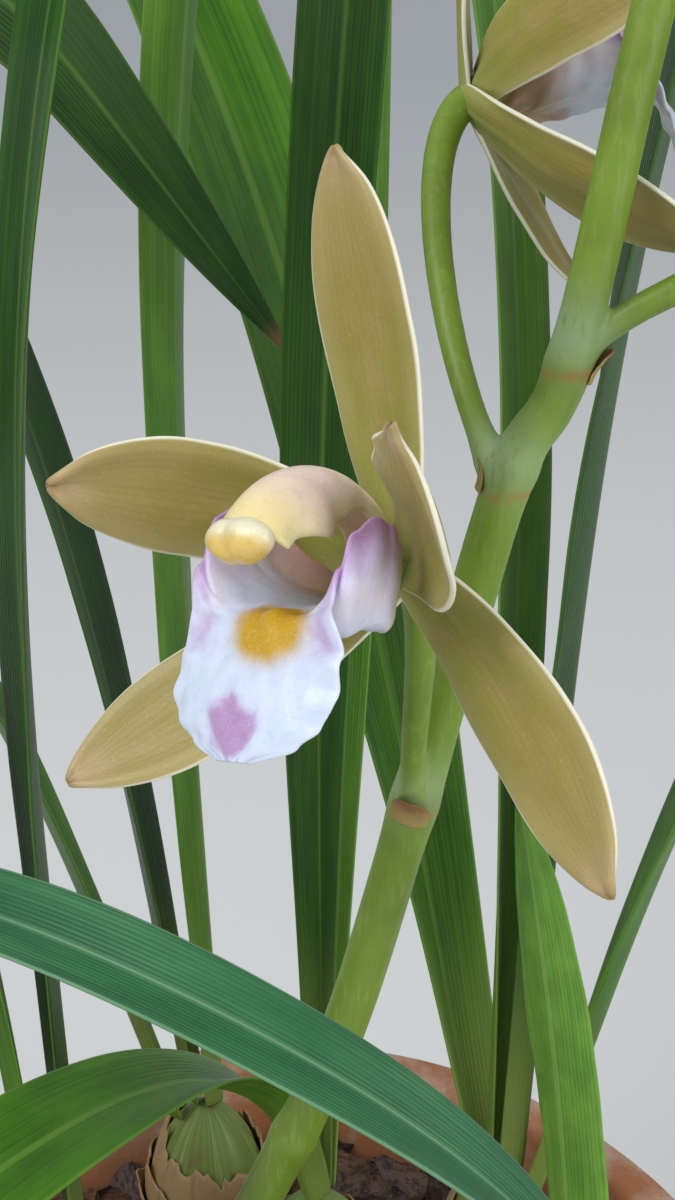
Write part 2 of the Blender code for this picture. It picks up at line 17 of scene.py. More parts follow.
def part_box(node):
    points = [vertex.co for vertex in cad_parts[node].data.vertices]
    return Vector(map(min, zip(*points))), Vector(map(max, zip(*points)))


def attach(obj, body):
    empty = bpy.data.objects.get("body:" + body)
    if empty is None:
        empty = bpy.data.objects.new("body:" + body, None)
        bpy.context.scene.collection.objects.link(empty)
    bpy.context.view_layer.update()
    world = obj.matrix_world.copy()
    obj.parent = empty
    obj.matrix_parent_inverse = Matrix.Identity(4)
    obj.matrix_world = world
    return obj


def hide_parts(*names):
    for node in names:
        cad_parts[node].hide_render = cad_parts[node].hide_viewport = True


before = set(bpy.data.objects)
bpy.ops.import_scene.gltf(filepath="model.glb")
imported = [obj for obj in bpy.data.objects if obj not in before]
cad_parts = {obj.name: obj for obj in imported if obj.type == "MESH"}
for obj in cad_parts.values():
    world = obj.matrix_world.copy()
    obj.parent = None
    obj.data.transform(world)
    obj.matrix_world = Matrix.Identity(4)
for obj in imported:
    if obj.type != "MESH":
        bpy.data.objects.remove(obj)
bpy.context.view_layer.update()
MM = 0.001
UP = Vector((0, 0, 1))
FORWARD = Vector((0, -1, 0))
BARK_BELOW_RIM = 18 * MM
BARK_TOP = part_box("pot")[1].z - BARK_BELOW_RIM
print("nodes:", len(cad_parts), "bark top at", round(BARK_TOP, 4))

# %% [markdown]
# ## Working by hand, in code
# An operator works on all that is selected, and the loaded solids start out selected. So each
# step lets go of everything and takes hold of one piece. A finished piece rides on the body,
# stands for its solid and carries its finish.


# %% Taking hold of a piece
def let_go():
    if bpy.context.object and bpy.context.object.mode != "OBJECT":
        bpy.ops.object.mode_set(mode="OBJECT")
    bpy.ops.object.select_all(action="DESELECT")


def take(piece):
    let_go()
    piece.select_set(True)
    bpy.context.view_layer.objects.active = piece


def face_outwards(piece):
    take(piece)
    bpy.ops.object.mode_set(mode="EDIT")
    bpy.ops.mesh.select_all(action="SELECT")
    bpy.ops.mesh.normals_make_consistent(inside=False)
    bpy.ops.object.mode_set(mode="OBJECT")


def apply_modifiers(piece):
    take(piece)
    for modifier in list(piece.modifiers):
        bpy.ops.object.modifier_apply(modifier=modifier.name)


def join_all(first, others):
    take(first)
    for other in others:
        other.select_set(True)
    bpy.ops.object.join()


def stand_for(piece, node, slot, *finishes):
    if finishes:
        piece.data.materials.clear()
    for finish in finishes:
        piece.data.materials.append(finish)
    take(piece)
    bpy.ops.object.shade_smooth()
    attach(piece, "root")
    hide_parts(node)
    print(f"{piece.name}: {len(piece.data.polygons)} faces for {node}")


let_go()

# %% [markdown]
# ## Mixing finishes
# A finish is a few patterns mixed into one colour, and a little relief. These helpers add one
# node each, so that a finish reads as a recipe. A pattern that follows a petal or leaf reads its
# UV map, in which U runs across the blade and V from its foot to its tip. A pattern of the
# material itself, such as the grain of clay, reads Object coordinates, so it never stretches.


# %% Nodes for finishes
def new_finish(name, **constants):
    material = bpy.data.materials.new(name)
    material.use_nodes = True
    shader = material.node_tree.nodes["Principled BSDF"]
    for socket, value in constants.items():
        shader.inputs[socket.replace("_", " ")].default_value = value
    return material, material.node_tree, shader


def add_node(tree, kind, inputs, **settings):
    node = tree.nodes.new("ShaderNode" + kind)
    for setting, value in settings.items():
        setattr(node, setting, value)
    for socket, value in inputs.items():
        if isinstance(value, bpy.types.NodeSocket):
            tree.links.new(value, node.inputs[socket])
        else:
            node.inputs[socket].default_value = value
    return node


def object_place(tree, scale=(1, 1, 1)):
    place = add_node(tree, "TexCoord", {}).outputs["Object"]
    return add_node(tree, "Mapping", {"Vector": place, "Scale": scale}).outputs["Vector"]


def blade_place(tree, scale=(1, 1, 1)):
    place = add_node(tree, "TexCoord", {}).outputs["UV"]
    return add_node(tree, "Mapping", {"Vector": place, "Scale": scale}).outputs["Vector"]


def across_and_along(tree):
    place = add_node(tree, "TexCoord", {}).outputs["UV"]
    parts = add_node(tree, "SeparateXYZ", {"Vector": place})
    return parts.outputs["X"], parts.outputs["Y"]


def sums(tree, operation, first, second=0.0):
    return add_node(tree, "Math", {0: first, 1: second}, operation=operation).outputs[0]


def scaled(tree, value, factor):
    return sums(tree, "MULTIPLY", value, factor)


def added(tree, first, second, share=1.0):
    return sums(tree, "ADD", first, scaled(tree, second, share))


def from_middle(tree, across):
    """0 on the midrib and 1 at either edge."""
    centred = sums(tree, "SUBTRACT", across, 0.5)
    return sums(tree, "ABSOLUTE", scaled(tree, centred, 2.0))


def between(tree, value, low, high):
    """0 below low, 1 above high, and a soft step between. It falls if high is below low."""
    inputs = {"Value": value, "From Min": low, "From Max": high}
    return add_node(tree, "MapRange", inputs, interpolation_type="SMOOTHSTEP").outputs["Result"]


def cloudy(tree, place, scale, detail=4.0, rough=0.55):
    inputs = {"Vector": place, "Scale": scale, "Detail": detail, "Roughness": rough}
    return add_node(tree, "TexNoise", inputs).outputs["Fac"]


def mixed(tree, amount, first, second):
    inputs = {0: amount, 6: first, 7: second}
    return add_node(tree, "Mix", inputs, data_type="RGBA").outputs[2]


def laid_over(tree, base, mask, share, colour):
    """The base under a colour, which hides it up to that share where the mask is 1."""
    return mixed(tree, scaled(tree, mask, share), base, (*colour, 1))


def toned(tree, colour, value, saturation=1.0):
    inputs = {"Color": colour, "Value": value, "Saturation": saturation}
    return add_node(tree, "HueSaturation", inputs).outputs["Color"]


def painted_tint(tree):
    return add_node(tree, "VertexColor", {}, layer_name="tint").outputs["Color"]


def shades(tree, value, *stops):
    """Colours along a value, as (value, colour) stops."""
    ramp = add_node(tree, "ValToRGB", {"Fac": value})
    elements = ramp.color_ramp.elements
    elements[0].position, elements[0].color = stops[0][0], (*stops[0][1], 1)
    elements[1].position, elements[1].color = stops[-1][0], (*stops[-1][1], 1)
    for position, colour in stops[1:-1]:
        elements.new(position).color = (*colour, 1)
    return ramp.outputs["Color"]


def relief(tree, shader, height, depth, strength=1.0):
    bump = add_node(tree, "Bump", {"Height": height, "Distance": depth, "Strength": strength})
    tree.links.new(bump.outputs["Normal"], shader.inputs["Normal"])


def colour_by(tree, shader, colour):
    tree.links.new(colour, shader.inputs["Base Color"])


def roughness_by(tree, shader, amount, low, high):
    inputs = {"Value": amount, "To Min": low, "To Max": high}
    result = add_node(tree, "MapRange", inputs).outputs["Result"]
    tree.links.new(result, shader.inputs["Roughness"])


print("finish helpers ready")

# %% [markdown]
# ## Blades
# A leaf, a sepal, a petal and a lip are all thin blades that follow a curved midrib. Each starts
# as a flat grid, whose UV map comes with it. The midrib is walked in small steps, and each row of
# the grid is laid across it: a section says how far a point stands to the side of the midrib,
# above it and ahead of its row. Solidify then gives the blade its thickness, thinner towards the
# edge, and one subdivision rounds the rim. A curve with a bevel would be quicker, but its section
# can't change from folded to flat, which is what a real leaf does.


# %% Curves and steps
def ease(share):
    """0 to 1 with a soft start and end, as the share goes from 0 to 1."""
    share = max(0.0, min(1.0, share))
    return share * share * (3 - 2 * share)


def blend(stations, share):
    """The values at a share, between rows of (share, value, ...) joined by smooth steps."""
    for before, after in zip(stations, stations[1:]):
        if share <= after[0]:
            step = ease((share - before[0]) / (after[0] - before[0]))
            return [a + (b - a) * step for a, b in zip(before[1:], after[1:])]
    return list(stations[-1][1:])


def hump(value, middle, width):
    """1 at the middle, falling softly to nothing about two widths away."""
    return math.exp(-(((value - middle) / width) ** 2))


def ripple(place, *step):
    """Soft noise, from -1 to 1, at that step from a place. Each piece has its own place."""
    return noise.noise(place + Vector(step))


def heading_vector(degrees):
    angle = math.radians(degrees)
    return Vector((math.cos(angle), math.sin(angle), 0))


def midrib(start, length, axes_at, angle_at, steps, twist=0.0):
    """Places along a midrib, each (point, side, normal).

    angle_at says how far it points from the first axis towards the second, and twist how far it
    has turned about itself at its end, in degrees.
    """
    places, point = [], Vector(start)
    for step in range(steps + 1):
        share = step / steps
        first, second = axes_at(share)
        angle = math.radians(angle_at(share))
        along = math.cos(angle) * first + math.sin(angle) * second
        normal = math.cos(angle) * second - math.sin(angle) * first
        turn = Matrix.Rotation(math.radians(twist * share), 3, along)
        if step:
            point = point + (along + last_along).normalized() * (length / steps)
        last_along = along
        places.append((point.copy(), turn @ along.cross(normal), turn @ normal))
    return places


def arc_section(half_width, edge_angle, across):
    """A point on an arc of that half width, whose edges stand at edge_angle to its middle."""
    angle = math.radians(edge_angle)
    if abs(angle) < 0.02:
        return half_width * across, 0.0
    radius = half_width / angle
    return radius * math.sin(angle * across), radius * (1 - math.cos(angle * across))


# %% Making a blade
def flat_grid(name, columns, rows):
    let_go()
    bpy.ops.mesh.primitive_grid_add(x_subdivisions=columns, y_subdivisions=rows, size=2)
    sheet = bpy.context.object
    sheet.name = name
    return sheet


def paint(sheet, name, colours):
    """A colour for each point, which the finish reads by that name."""
    layer = sheet.data.color_attributes.new(name, "FLOAT_COLOR", "POINT")
    for point, colour in zip(layer.data, colours):
        point.color = (*colour, 1)


def make_blade(name, places, section_at, columns, rows, thickness, edge_share, colour_at=None):
    """A blade laid along a midrib. edge_share is how thick its edge is against its middle."""
    sheet = flat_grid(name, columns, rows)
    last = len(places) - 1
    middle = sheet.vertex_groups.new(name="middle")
    colours = []
    for vertex in sheet.data.vertices:
        across, share = vertex.co.x, (vertex.co.y + 1) / 2
        point, side, normal = places[round(share * last)]
        aside, lift, ahead = section_at(share, across)
        vertex.co = point + side * aside + normal * lift + normal.cross(side) * ahead
        middle.add([vertex.index], 1 - across**2, "REPLACE")
        if colour_at:
            colours.append(colour_at(share, across))
    if colour_at:
        paint(sheet, "tint", colours)
    wall = sheet.modifiers.new("Wall", "SOLIDIFY")
    wall.thickness = thickness
    wall.offset = 0
    wall.vertex_group = "middle"
    wall.thickness_vertex_group = edge_share
    smooth = sheet.modifiers.new("Round", "SUBSURF")
    smooth.levels = smooth.render_levels = 1
    apply_modifiers(sheet)
    sheet.vertex_groups.clear()
    return sheet


print("blade helpers ready")

# %% [markdown]
# ## Leaves
# A cymbidium leaf is a long strap, folded like a V at its foot, where it clasps its neighbours,
# and opening to a shallow channel. It is stiff at first and then arches over under its own
# weight. Its veins run the whole length, the midrib shows as a pale line that stands out below,
# and the edge is thin and paler. Each row of the list gives one leaf's bulb, its place in the
# fan, where it heads and how that drifts, how far it leans and droops, from which share of its
# length to which it droops, its length, width and twist. A bulb's row gives its place, its radius
# and its height above the bark.

# %% Where the leaves stand
BULBS = (
    (-34, 4, 13, 34),
    (8, 24, 14, 38),
    (43, 34, 13, 34),
    (-15, 57, 12, 30),
    (50, -34, 12.5, 30),
    (-54, 24, 11, 26),
)
BULB_BURIED = 8 * MM
LEAVES = (
    (0, 0, 200, -10, 4, 70, 0.1, 1.2, 380, 15, -14),
    (0, 0, 20, 10, -1, 50, 0.2, 1.2, 370, 15, 12),
    (0, 1, 184, 0, 14, 84, 0.1, 1.1, 340, 15, 10),
    (1, 0, 64, 0, -1, 40, 0.1, 1.2, 410, 14, 10),
    (1, 0, 250, -30, 7, 100, -0.15, 0.63, 320, 19, -10),
    (1, 1, 78, 20, 6, 60, 0.1, 1.2, 400, 15, -8),
    (2, 1, 134, -4, 15, 64, 0.1, 1.25, 410, 32, 12),
    (2, 0, 330, 60, 2, 44, 0.2, 1.3, 390, 20, -12),
    (2, 0, 140, -10, 0, 44, 0.2, 1.2, 380, 15, 10),
    (2, 1, 335, 50, 12, 70, 0.1, 1.2, 350, 16, 10),
    (3, 0, 170, -8, 7, 56, 0.1, 1.2, 380, 18, 12),
    (3, 0, 350, -20, -2, 34, 0.2, 1.2, 380, 16, -10),
    (3, 1, 185, 8, 15, 76, 0.1, 1.1, 360, 15, 10),
    (4, 0, 187, -4, 2, 8, 0, 1, 130, 12, 60),
    (4, 0, 355, 10, 16, 76, 0.1, 1.1, 330, 15, 12),
    (4, 1, 345, -10, 30, 76, 0, 1, 300, 15, 10),
    (5, 0, 20, 0, -6, 150, 0.58, 0.84, 318, 24, 84),
    (5, 0, 192, -10, 10, 76, 0.1, 1.1, 340, 14, -12),
    (5, 1, 233, 170, 15, 190, 0.12, 1.17, 316, 12, 10),
)
LEAF_FIRST_OFFSET = 3.6 * MM
LEAF_NEXT_OFFSET = 3.4 * MM
LEAF_SEAT = 0.5 * MM
SHOULDER_STEPS = 200
LEAF_INNER_TUCK = 2.0 * MM
LEAF_OUTER_TUCK = 1.4 * MM
LEAF_FOLD_BASE = 50
LEAF_FOLD_BLADE = 16
LEAF_FOLD_SOFTNESS = 0.004
LEAF_FOLD_DROP = 0.063
LEAF_OPENS_BY = 0.3
LEAF_TAPERS_FROM = 0.55
LEAF_EDGE_WAVE = 0.9 * MM
LEAF_THICKNESS = 1.1 * MM
LEAF_EDGE_SHARE = 0.45
LEAF_COLUMNS = 10
LEAF_ROWS = 64
print(len(LEAVES), "leaves on", len(BULBS), "pseudobulbs")


def bulb_radius(share, radius):
    return radius * math.sin(math.pi * share**0.78) ** 0.62 if 0 < share < 1 else 0.0


def bulb_shoulder(radius, height, offset):
    """Height above the bark of a bulb's upper surface, at an offset from its axis."""
    total = height + BULB_BURIED
    for step in range(SHOULDER_STEPS, 0, -1):
        if bulb_radius(step / SHOULDER_STEPS, radius) > offset:
            return total * step / SHOULDER_STEPS - BULB_BURIED
    return height


def leaf_outline(share):
    wide = 0.5 + 0.5 * ease(share / 0.38)
    if share < LEAF_TAPERS_FROM:
        return wide
    taper = (share - LEAF_TAPERS_FROM) / (1 - LEAF_TAPERS_FROM)
    return wide * max(0.03, (1 - taper**2) ** 0.9)


# %% Making one leaf
def make_leaf(number, row):
    bulb, rank, heading, drift, lean, droop, early, late, length, width, twist = row
    x, y, radius, height = (value * MM for value in BULBS[bulb])
    offset = LEAF_FIRST_OFFSET + LEAF_NEXT_OFFSET * rank
    tuck = LEAF_OUTER_TUCK if rank else LEAF_INNER_TUCK
    shoulder = bulb_shoulder(radius, height, max(0.0, offset - tuck))
    seat = Vector((x, y, BARK_TOP + shoulder + LEAF_SEAT))
    start = seat + heading_vector(heading) * offset
    half_width = width * MM / 2
    wave_place = Vector((number * 3.7, 0, 0))

    def section_at(share, across):
        wide = half_width * leaf_outline(share)
        open_share = min(1.0, share / LEAF_OPENS_BY)
        fold = math.radians(LEAF_FOLD_BASE + (LEAF_FOLD_BLADE - LEAF_FOLD_BASE) * open_share)
        rise = math.sqrt(across**2 + LEAF_FOLD_SOFTNESS) - LEAF_FOLD_DROP
        lift = -wide * rise * math.sin(fold)
        edge_wave = ripple(wave_place, 0, share * 9, across)
        lift += open_share * LEAF_EDGE_WAVE * edge_wave * across**2
        return wide * across * math.cos(fold), lift, 0.0

    places = midrib(
        start,
        length * MM,
        lambda share: (UP, heading_vector(heading + drift * share)),
        lambda share: lean + droop * ease((share - early) / (late - early)),
        LEAF_ROWS,
        twist,
    )
    return make_blade(
        f"leaf_blade_{number:02d}", places, section_at, LEAF_COLUMNS, LEAF_ROWS,
        LEAF_THICKNESS, LEAF_EDGE_SHARE,
    )


# %% [markdown]
# ## Leaf finish
# Leaf green is never one green. Long streaks of a fresher green run with the veins, slow clouds
# darken parts of the blade, the foot is pale where it was covered, and old tips dry to straw.
# The veins are relief as well, fine enough to catch the light as a sheen of thin lines.


# %% Leaf greens
LEAF_VEINS = 22


def leaf_finish(name, deep, fresh, line, bloom):
    material, tree, shader = new_finish(
        name, Specular_IOR_Level=0.30, Coat_Weight=0.06, Coat_Roughness=0.3
    )
    across, along = across_and_along(tree)
    middle = from_middle(tree, across)
    streaks = cloudy(tree, blade_place(tree, (70, 3, 1)), 1.0, 5.0, 0.6)
    clouds = cloudy(tree, blade_place(tree, (2.5, 14, 1)), 1.0, 3.0)
    both = added(tree, scaled(tree, streaks, 0.55), clouds, 0.5)
    green = mixed(tree, between(tree, both, 0.35, 0.72), (*deep, 1), (*fresh, 1))
    foot = between(tree, along, 0.16, 0.0)
    green = laid_over(tree, green, foot, 0.7, (0.32, 0.40, 0.10))
    rib = between(tree, middle, 0.10, 0.02)
    green = laid_over(tree, green, rib, 0.6, line)
    edge = between(tree, middle, 0.955, 0.985)
    green = laid_over(tree, green, edge, 0.5, line)
    worn = added(tree, along, streaks, 0.05)
    dry = between(tree, worn, 1.0, 1.012)
    green = laid_over(tree, green, dry, 1.0, (0.28, 0.17, 0.07))
    colour_by(tree, shader, green)
    roughness_by(tree, shader, clouds, 0.30 + bloom, 0.46 + bloom)
    veins = sums(tree, "SINE", scaled(tree, across, 2 * math.pi * LEAF_VEINS))
    fine = cloudy(tree, blade_place(tree, (160, 10, 1)), 1.0, 3.0)
    relief(tree, shader, added(tree, fine, veins, 0.35), 0.15 * MM, 0.6)
    return material


# Four copies of the leaf finish in darker and lighter greens. They are partly the leaves' own
# differences in tone and partly painted light: the lighter copies stand in for leaves lit through
# from behind and the darker ones for leaves in shade.
LEAF_GREENS_LIT_AND_SHADED = {
    "deep": leaf_finish("shaded_deep_leaf", (0.012, 0.050, 0.006), (0.034, 0.120, 0.008),
                        (0.10, 0.22, 0.03), 0.0),
    "mid": leaf_finish("mid_leaf", (0.026, 0.110, 0.004), (0.100, 0.280, 0.007),
                       (0.18, 0.34, 0.04), 0.0),
    "fresh": leaf_finish("backlit_fresh_leaf", (0.080, 0.225, 0.022), (0.190, 0.400, 0.045),
                         (0.26, 0.42, 0.10), 0.06),
    "sea": leaf_finish("sea_leaf", (0.020, 0.110, 0.042), (0.055, 0.210, 0.090),
                       (0.20, 0.38, 0.20), 0.02),
}
print("leaf greens:", ", ".join(LEAF_GREENS_LIT_AND_SHADED))
# The copy that each leaf wears: partly its own tone, partly painted light or shade.
LEAF_TONES_AND_LIGHT = {
    1: "mid", 2: "deep", 3: "fresh", 4: "deep", 5: "mid", 6: "fresh", 7: "mid", 8: "deep",
    9: "fresh", 10: "mid", 11: "deep", 12: "fresh", 13: "mid", 14: "fresh", 15: "fresh",
    16: "mid", 17: "deep", 18: "fresh", 19: "sea",
}

# %% All the leaves
for number, row in enumerate(LEAVES, 1):
    leaf = make_leaf(number, row)
    stand_for(leaf, f"leaf_{number:02d}", "leaf", LEAF_GREENS_LIT_AND_SHADED[LEAF_TONES_AND_LIGHT[number]])

# %% [markdown]
# ## Flowers
# A cymbidium flower has three sepals and two petals, all alike and fleshy, round a column that
# hoods over a lip. Each is made in the flower's own frame, in which the flower faces forwards
# and its dorsal sepal stands up, and is then turned to its place on the stalk. A row gives the
# stalk's joint that it grows from, its middle in millimetres above the bark, its yaw, pitch and
# roll, where its stem sets out, and how much further its sepals have opened.

# %% Where the flowers are
FLOWERS = (
    (5, (18, -50, 192), -44, 10.5, -16.5, 255, 0),
    (6, (28, 3, 231), 84, 12, 4, 160, -4),
    (7, (66, -26, 221), 112, 8, 0, 10, 8),
)
print(len(FLOWERS), "flowers, from joint", FLOWERS[0][0], "of the stalk upwards")


def above_bark(place):
    x, y, height = place
    return Vector((x * MM, y * MM, BARK_TOP + height * MM))


def flower_turn(yaw, pitch, roll):
    return (
        Matrix.Rotation(math.radians(yaw), 3, "Z")
        @ Matrix.Rotation(math.radians(-pitch), 3, "X")
        @ Matrix.Rotation(math.radians(roll), 3, "Y")
    )


def set_in_place(piece, place):
    """Moves the piece there, and keeps its place in its mesh."""
    take(piece)
    piece.matrix_world = place
    bpy.ops.object.transform_apply(location=True, rotation=True, scale=True)


# %% [markdown]
# ## Sepals and petals
# These are thick, waxy blades. Their outline widens slowly and closes to a small pinched point,
# the edge rolls a little, and the surface swells between the veins. A row gives the clock
# direction and its drift, the sweep forwards and how it curls, the length, width and cup, and how
# far its end hooks aside to a narrow point. The root is how much nearer the flower's middle a
# blade starts than its solid does, so that no gap shows behind the flower.

# %% Sizes of the sepals and petals
TEPALS = {
    "dorsal_sepal": (-0.5, 0, 3, 8, 39.5, 12.2, 16, 0),
    "right_sepal": (129, 16, 5, 10, 38.5, 11.8, 14, 0),
    "left_sepal": (-122, -6, 19, 30, 40.5, 12.2, 18, 0),
    "right_petal": (76, -32, 36, 14, 31.525, 12.4, 26, 0.55),
    "left_petal": (-57, -16, 20, 54, 35, 12.8, 22, 0),
}
TEPAL_THICKNESS = 0.9 * MM
TEPAL_START = 1.9 * MM
TEPAL_ROOT = 1.7 * MM
TEPAL_WIDEST_AT = 0.60
TEPAL_FOOT_SHARE = 0.40
TEPAL_EDGE_SHARE = 0.62
TEPAL_EDGE_ROLL = 0.45 * MM
TEPAL_GROOVE = 0.30 * MM
TEPAL_SWELL = 0.55 * MM
HOOK_ASIDE = 4.2 * MM
SEPAL_SETBACK = 0.6 * MM
PETAL_ADVANCE = 0.75 * MM
TEPAL_COLUMNS = 22
TEPAL_ROWS = 48
print("in each flower:", ", ".join(TEPALS))


def petal_outline(share, base_share, widest_at):
    if share < widest_at:
        rise = math.sin(math.pi / 2 * share / widest_at)
        return base_share + (1 - base_share) * rise
    fall = (share - widest_at) / (1 - widest_at)
    return max(0.025, (1 - fall**2.2) ** 0.76)


# %% Making a sepal or petal
def make_tepal(name, spec, is_petal, opening, seed):
    clock, drift, sweep, curl, length, width, cup, hook = spec
    sweep -= 0 if is_petal else opening
    swell = Vector((seed * 5.3, 0, 0))

    def axes_at(share):
        angle = math.radians(clock + drift * share)
        return Vector((math.sin(angle), 0, math.cos(angle))), FORWARD

    def section_at(share, across):
        wide = width * MM / 2 * petal_outline(share, TEPAL_FOOT_SHARE, TEPAL_WIDEST_AT)
        wide *= 1 + 0.025 * ripple(swell, share * 6, 3, 0)
        wide *= 1 - hook * (ease((share - 0.74) / 0.26) - 0.7 * hump(share, 0.42, 0.22))
        pinch = (30 + 40 * hook) * ease((share - 0.90) / 0.10)
        aside, lift = arc_section(wide, cup + pinch, across)
        aside -= HOOK_ASIDE * hook * ease((share - 0.55) / 0.45) ** 1.5
        lift -= TEPAL_EDGE_ROLL * hump(abs(across), 1.0, 0.16) * ease(share / 0.3)
        lift -= TEPAL_GROOVE * hump(across, 0.0, 0.14) * (1 - share)
        lift += TEPAL_SWELL * ripple(swell, share * 4, across * 1.4, 0)
        return aside, lift, 0.0

    out = axes_at(0)[0]
    rise = math.radians(sweep)
    start = out * TEPAL_START + FORWARD * (PETAL_ADVANCE if is_petal else -SEPAL_SETBACK)
    start -= TEPAL_ROOT * (math.cos(rise) * out + math.sin(rise) * FORWARD)
    places = midrib(
        start,
        length * MM + TEPAL_ROOT,
        axes_at,
        lambda share: sweep + curl * share,
        TEPAL_ROWS,
    )
    return make_blade(
        name, places, section_at, TEPAL_COLUMNS, TEPAL_ROWS, TEPAL_THICKNESS, TEPAL_EDGE_SHARE
    )


# %% [markdown]
# ## Khaki finish
# The colour is a thin wash of pink-brown over yellow-green. It is greenest at the foot, khaki in
# the middle and pinker towards the point. Faint darker veins run its length, and the edge is
# frosted almost white: partly its own thin margin with no wash, partly a painted highlight along
# the rim. A fine sparkle of waxy cells lies over all of it, painted as pale glints in the colour.
# Light passes a little way into the flesh, so the shader scatters it.


# %% Khaki of the sepals and petals
TEPAL_VEINS = 15


def khaki_finish():
    material, tree, shader = new_finish(
        "khaki_tepal",
        Subsurface_Weight=0.22,
        Subsurface_Radius=(1.0, 0.7, 0.3),
        Subsurface_Scale=1.2 * MM,
        Sheen_Weight=0.08,
        Sheen_Roughness=0.4,
    )
    across, along = across_and_along(tree)
    middle = from_middle(tree, across)
    wash = shades(
        tree,
        along,
        (0.0, (0.30, 0.34, 0.080)),
        (0.25, (0.29, 0.285, 0.042)),
        (0.62, (0.31, 0.250, 0.044)),
        (0.86, (0.37, 0.28, 0.085)),
        (0.97, (0.48, 0.34, 0.18)),
        (1.0, (0.26, 0.12, 0.05)),
    )
    clouds = cloudy(tree, blade_place(tree, (3, 7, 1)), 1.0, 3.0)
    pink = laid_over(tree, wash, between(tree, clouds, 0.40, 0.75), 1.0, (0.36, 0.28, 0.085))
    warp = cloudy(tree, blade_place(tree, (4, 5, 1)), 1.0, 2.0)
    lines = added(tree, scaled(tree, across, TEPAL_VEINS), warp, 0.8)
    wave = sums(tree, "SINE", scaled(tree, lines, 2 * math.pi))
    broken = cloudy(tree, blade_place(tree, (60, 6, 1)), 1.0, 4.0)
    veins = scaled(tree, between(tree, wave, 0.2, 1.0), between(tree, broken, 0.35, 0.65))
    inner = between(tree, middle, 0.92, 0.55)
    veined = laid_over(tree, pink, scaled(tree, veins, inner), 0.26, (0.22, 0.165, 0.035))
    outer = between(tree, middle, 0.45, 1.0)
    pale = laid_over(tree, veined, outer, 0.30, (0.50, 0.43, 0.20))
    # Pale rim: partly the margin's own thin, unwashed colour, partly a painted highlight along the
    # edge.
    frost_and_highlight_line = added(tree, middle, broken, 0.05)
    frost_and_highlight = between(tree, frost_and_highlight_line, 0.955, 1.02)
    frosted_and_highlit = laid_over(tree, pale, frost_and_highlight, 1.0, (0.84, 0.81, 0.66))
    cells = cloudy(tree, object_place(tree), 3800.0, 2.0, 0.6)
    # Painted glints: pale spots on the waxy cells stand in for light glinting off them.
    painted_sparkle = between(tree, cells, 0.60, 0.72)
    colour = laid_over(tree, frosted_and_highlit, painted_sparkle, 0.14, (0.80, 0.74, 0.54))
    colour_by(tree, shader, colour)
    roughness_by(tree, shader, cells, 0.62, 0.30)
    raised = added(tree, scaled(tree, cells, 0.6), wave, -0.08)
    relief(tree, shader, raised, 0.12 * MM, 0.5)
    return material


KHAKI = khaki_finish()
print("mixed", KHAKI.name)

# %% [markdown]
# ## Lip
# The lip is the showpiece. Its foot is a trough with two raised side lobes that stand beside the
# column, then it narrows, and its middle lobe turns down like a tongue with a softly waved edge.
# Two keels run along the trough and end in a yellow swelling. A station gives the share of the
# length, the half width and how far the section curls up at its edge. The keels and waves are
# added to that section. A real lip is never quite even, so one side lobe spreads, sags and
# bellies more than the other, and the tongue stands a little aside.

# %% Sizes of the lip
LIP_LENGTH = 30 * MM
LIP_AHEAD = 3.0 * MM
LIP_BELOW = 2.8 * MM
LIP_THICKNESS = 0.8 * MM
LIP_STATIONS = (
    (0.00, 2.2, 40),
    (0.08, 5.0, 70),
    (0.16, 11.0, 95),
    (0.24, 14.6, 102),
    (0.32, 15.6, 104),
    (0.40, 14.4, 96),
    (0.48, 11.2, 66),
    (0.56, 9.2, 30),
    (0.66, 9.6, 0),
    (0.78, 10.4, -16),
    (0.88, 9.2, -22),
    (0.95, 6.8, -24),
    (1.00, 2.0, -20),
)
LIP_BEND = ((0.0, -6), (0.3, 4), (0.5, -10), (0.66, -52), (1.0, -80))
LIP_COLUMNS = 52
LIP_ROWS = 72
LIP_WAVES = 9
LIP_WAVE = 0.13 * MM
LIP_SWELL = 0.25 * MM
KEEL_HEIGHT = 0.8 * MM
LOBE_REACH = 3.0 * MM
LOBE_SPREAD = 2.0 * MM
LOBE_SAG = 2.1 * MM
LOBE_BELLY = 1.9 * MM
TONGUE_SHIFT = 1.3 * MM
YOLK_AT = 0.57
YOLK_ASIDE = -0.14
YOLK_HEIGHT = 1.1 * MM
BLUSH_AT = 0.90
print("the lip is widest at its lobes:", max(2 * row[1] for row in LIP_STATIONS), "mm")


